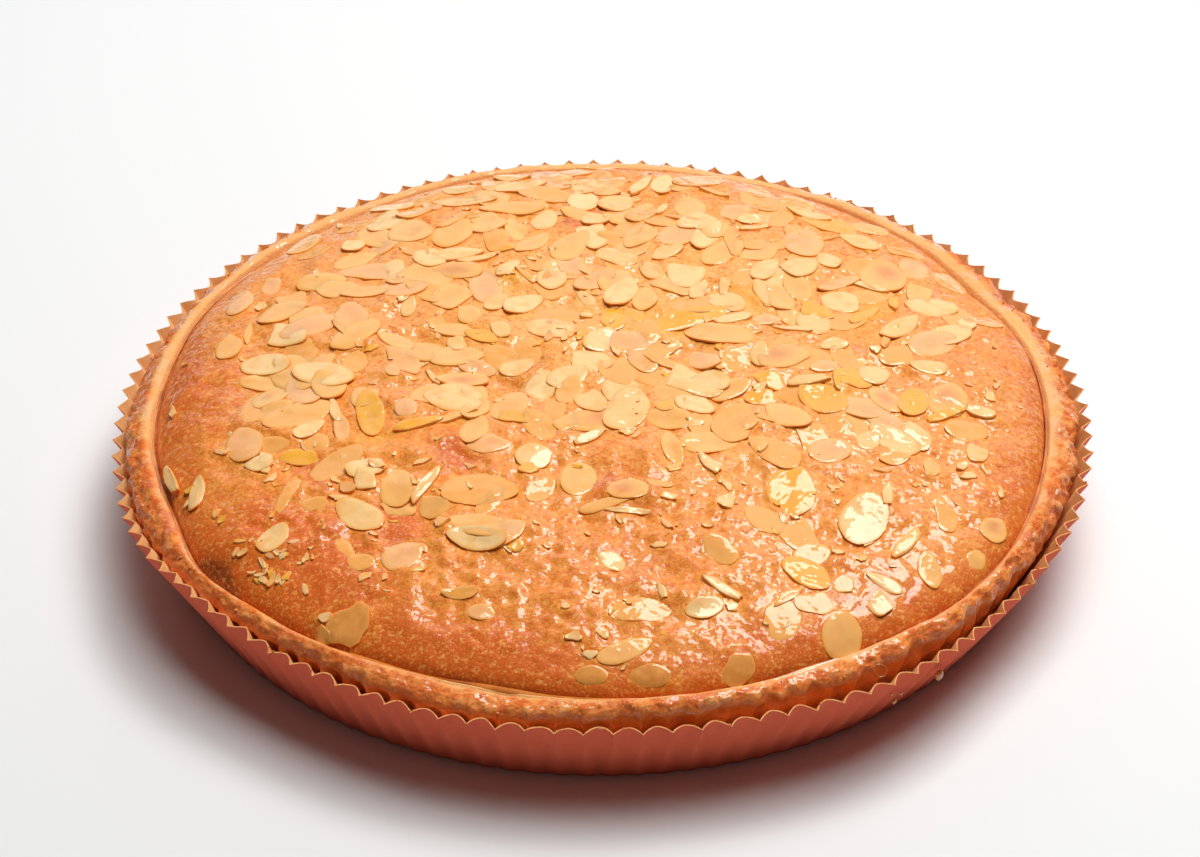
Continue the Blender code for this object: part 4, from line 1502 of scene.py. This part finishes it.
class TART_OT_crumbs(bpy.types.Operator):
    """Scatters baked crumbs of pastry over the rim."""

    bl_idname = "tart.crumbs"
    bl_label = "Crumbs"

    def execute(self, context):
        clear_selection()
        bpy.ops.mesh.primitive_ico_sphere_add(subdivisions=1, radius=0.5, location=(0.0, 0.0, 0.0))
        model_item = context.object
        model = points_of(model_item) * MM
        faces = [tuple(face.vertices) for face in model_item.data.polygons]
        bpy.data.objects.remove(model_item, do_unlink=True)
        draw = random.Random(61)
        parts = []
        shades = []
        for number in range(RIM_CRUMBS):
            angle = np.array([draw.uniform(0.0, 360.0)])
            across = np.array([draw.triangular(0.35, 1.0, 0.92)])
            edge = crust_edge_radius(angle, flute(angle))
            crease = crease_radius(angle)
            radius = (crease + across * (edge - crease))[0]
            height = rim_height(angle, across)[0]
            size = draw.triangular(0.4, 1.2, 0.6)
            if number % 4 == 0:
                angle = np.array([draw.choice([draw.uniform(*span) for span in CRUMBY_EDGES])])
                radius = case_radius(angle, 1.0, flute(angle) * 0.8)[0] - 0.3
                height = case_rim_height(angle)[0]
                size *= 0.8
            grow = np.array([[draw.uniform(0.7, 1.2) for _ in range(3)]])
            rough = np.array([[draw.uniform(0.8, 1.15)] for _ in model])
            turn = math.radians(angle[0])
            middle = (radius * math.cos(turn), radius * math.sin(turn), height + 0.1 * size)
            parts.append((model * rough * grow * size + np.array(middle), faces))
            # Each crumb's own random tone goes into the crag mark, which makes it paler
            shades.append(np.full(len(model), draw.uniform(0.0, 0.45)))
        across = [np.full(len(model), 0.9)] * len(parts)
        item = joined_mesh("rim_crumbs", parts, {"crag": shades, "across": across})
        finish_piece(item, "rim_crumbs", [crust_finish(context.scene.tart_crust)])
        return {"FINISHED"}


# The stage


def softbox(name, place, aim, size, power):
    lamp = bpy.data.lights.new(name, "AREA")
    lamp.shape = "RECTANGLE"
    lamp.size, lamp.size_y = size
    lamp.energy = power
    item = bpy.data.objects.new(name, lamp)
    item.location = place
    item.rotation_euler = (Vector(aim) - Vector(place)).to_track_quat("-Z", "Y").to_euler()
    bpy.context.scene.collection.objects.link(item)
    return item


class TART_OT_stage(bpy.types.Operator):
    """Sets the pale floor, the soft studio light and the camera."""

    bl_idname = "tart.stage"
    bl_label = "Stage"

    def execute(self, context):
        settings = context.scene.tart_stage
        scene = context.scene
        clear_selection()
        bpy.ops.mesh.primitive_plane_add(size=8.0, location=(0.0, 0.0, 0.0))
        floor = context.object
        floor.name = "floor"
        finish, _, shader = new_finish("pale table")
        set_values(shader, {
            "Base Color": (*settings.floor, 1.0),
            "Roughness": 0.55,
            "Specular IOR Level": 0.2,
        })
        floor.data.materials.append(finish)

        world = bpy.data.worlds.new("white room")
        world.use_nodes = True
        scene.world = world
        background = world.node_tree.nodes["Background"]
        background.inputs["Color"].default_value = (1.0, 0.985, 0.97, 1.0)
        background.inputs["Strength"].default_value = settings.sky
        # The glaze mirrors the sheen softbox, which is seen only there, and the backdrop
        aim = (0.0, 0.0, 0.02)
        key = softbox("overhead softbox", (0.36, 0.5, 1.1), aim, (0.55, 0.42), settings.key_power)
        key.visible_glossy = False
        sheen = softbox("sheen softbox", (0.34, 0.47, 1.04), aim, (0.6, 0.45), settings.sheen_power)
        sheen.visible_diffuse = False
        wide = softbox("wide softbox", (0.2, 0.18, 1.2), aim, (1.0, 0.9), settings.fill_power)
        # This one stands for the whole ceiling's light, too dim to be mirrored
        wide.visible_glossy = False
        softbox("backdrop", (0.2, 1.7, 0.85), (0.0, 0.0, 0.0), (2.6, 1.3), settings.back_power)

        eye = bpy.data.cameras.new("photograph view")
        eye.lens = CAMERA_LENS
        eye.sensor_width = 36.0
        eye.clip_start = 0.05
        eye.clip_end = 20.0
        camera = bpy.data.objects.new("photograph view", eye)
        camera.location = CAMERA_PLACE
        gaze = (Vector(CAMERA_AIM) - Vector(CAMERA_PLACE)).to_track_quat("-Z", "Y")
        gaze = gaze @ Quaternion((0.0, 0.0, 1.0), math.radians(CAMERA_ROLL))
        camera.rotation_euler = gaze.to_euler()
        scene.collection.objects.link(camera)
        scene.camera = camera
        scene.view_settings.view_transform = "Standard"
        return {"FINISHED"}


# The sidebar and the run


SETTINGS = {
    "tart_case": CaseSettings,
    "tart_crust": CrustSettings,
    "tart_filling": FillingSettings,
    "tart_flakes": FlakeSettings,
    "tart_stage": StageSettings,
}
OPERATORS = (
    TART_OT_stage,
    TART_OT_paper_case,
    TART_OT_crust,
    TART_OT_filling_skin,
    TART_OT_flakes,
    TART_OT_glaze_line,
    TART_OT_crumbs,
)


class TART_PT_sidebar(bpy.types.Panel):
    """Lists the tart's pieces and what can be changed on them."""

    bl_idname = "TART_PT_sidebar"
    bl_label = "Bakewell tart"
    bl_space_type = "VIEW_3D"
    bl_region_type = "UI"
    bl_category = "Tart"

    def draw(self, context):
        for operator in OPERATORS:
            self.layout.operator(operator.bl_idname)
        for name, group in SETTINGS.items():
            box = self.layout.box()
            box.label(text=group.__doc__.rstrip("."))
            for key in group.__annotations__:
                box.prop(getattr(context.scene, name), key)


def register():
    for group in SETTINGS.values():
        bpy.utils.register_class(group)
    for name, group in SETTINGS.items():
        setattr(bpy.types.Scene, name, bpy.props.PointerProperty(type=group))
    for operator in OPERATORS:
        bpy.utils.register_class(operator)
    bpy.utils.register_class(TART_PT_sidebar)


def unregister():
    bpy.utils.unregister_class(TART_PT_sidebar)
    for operator in reversed(OPERATORS):
        bpy.utils.unregister_class(operator)
    for name, group in reversed(SETTINGS.items()):
        delattr(bpy.types.Scene, name)
        bpy.utils.unregister_class(group)


def main():
    register()
    for operator in OPERATORS:
        family, action = operator.bl_idname.split(".")
        getattr(getattr(bpy.ops, family), action)()


if __name__ == "__main__":
    main()
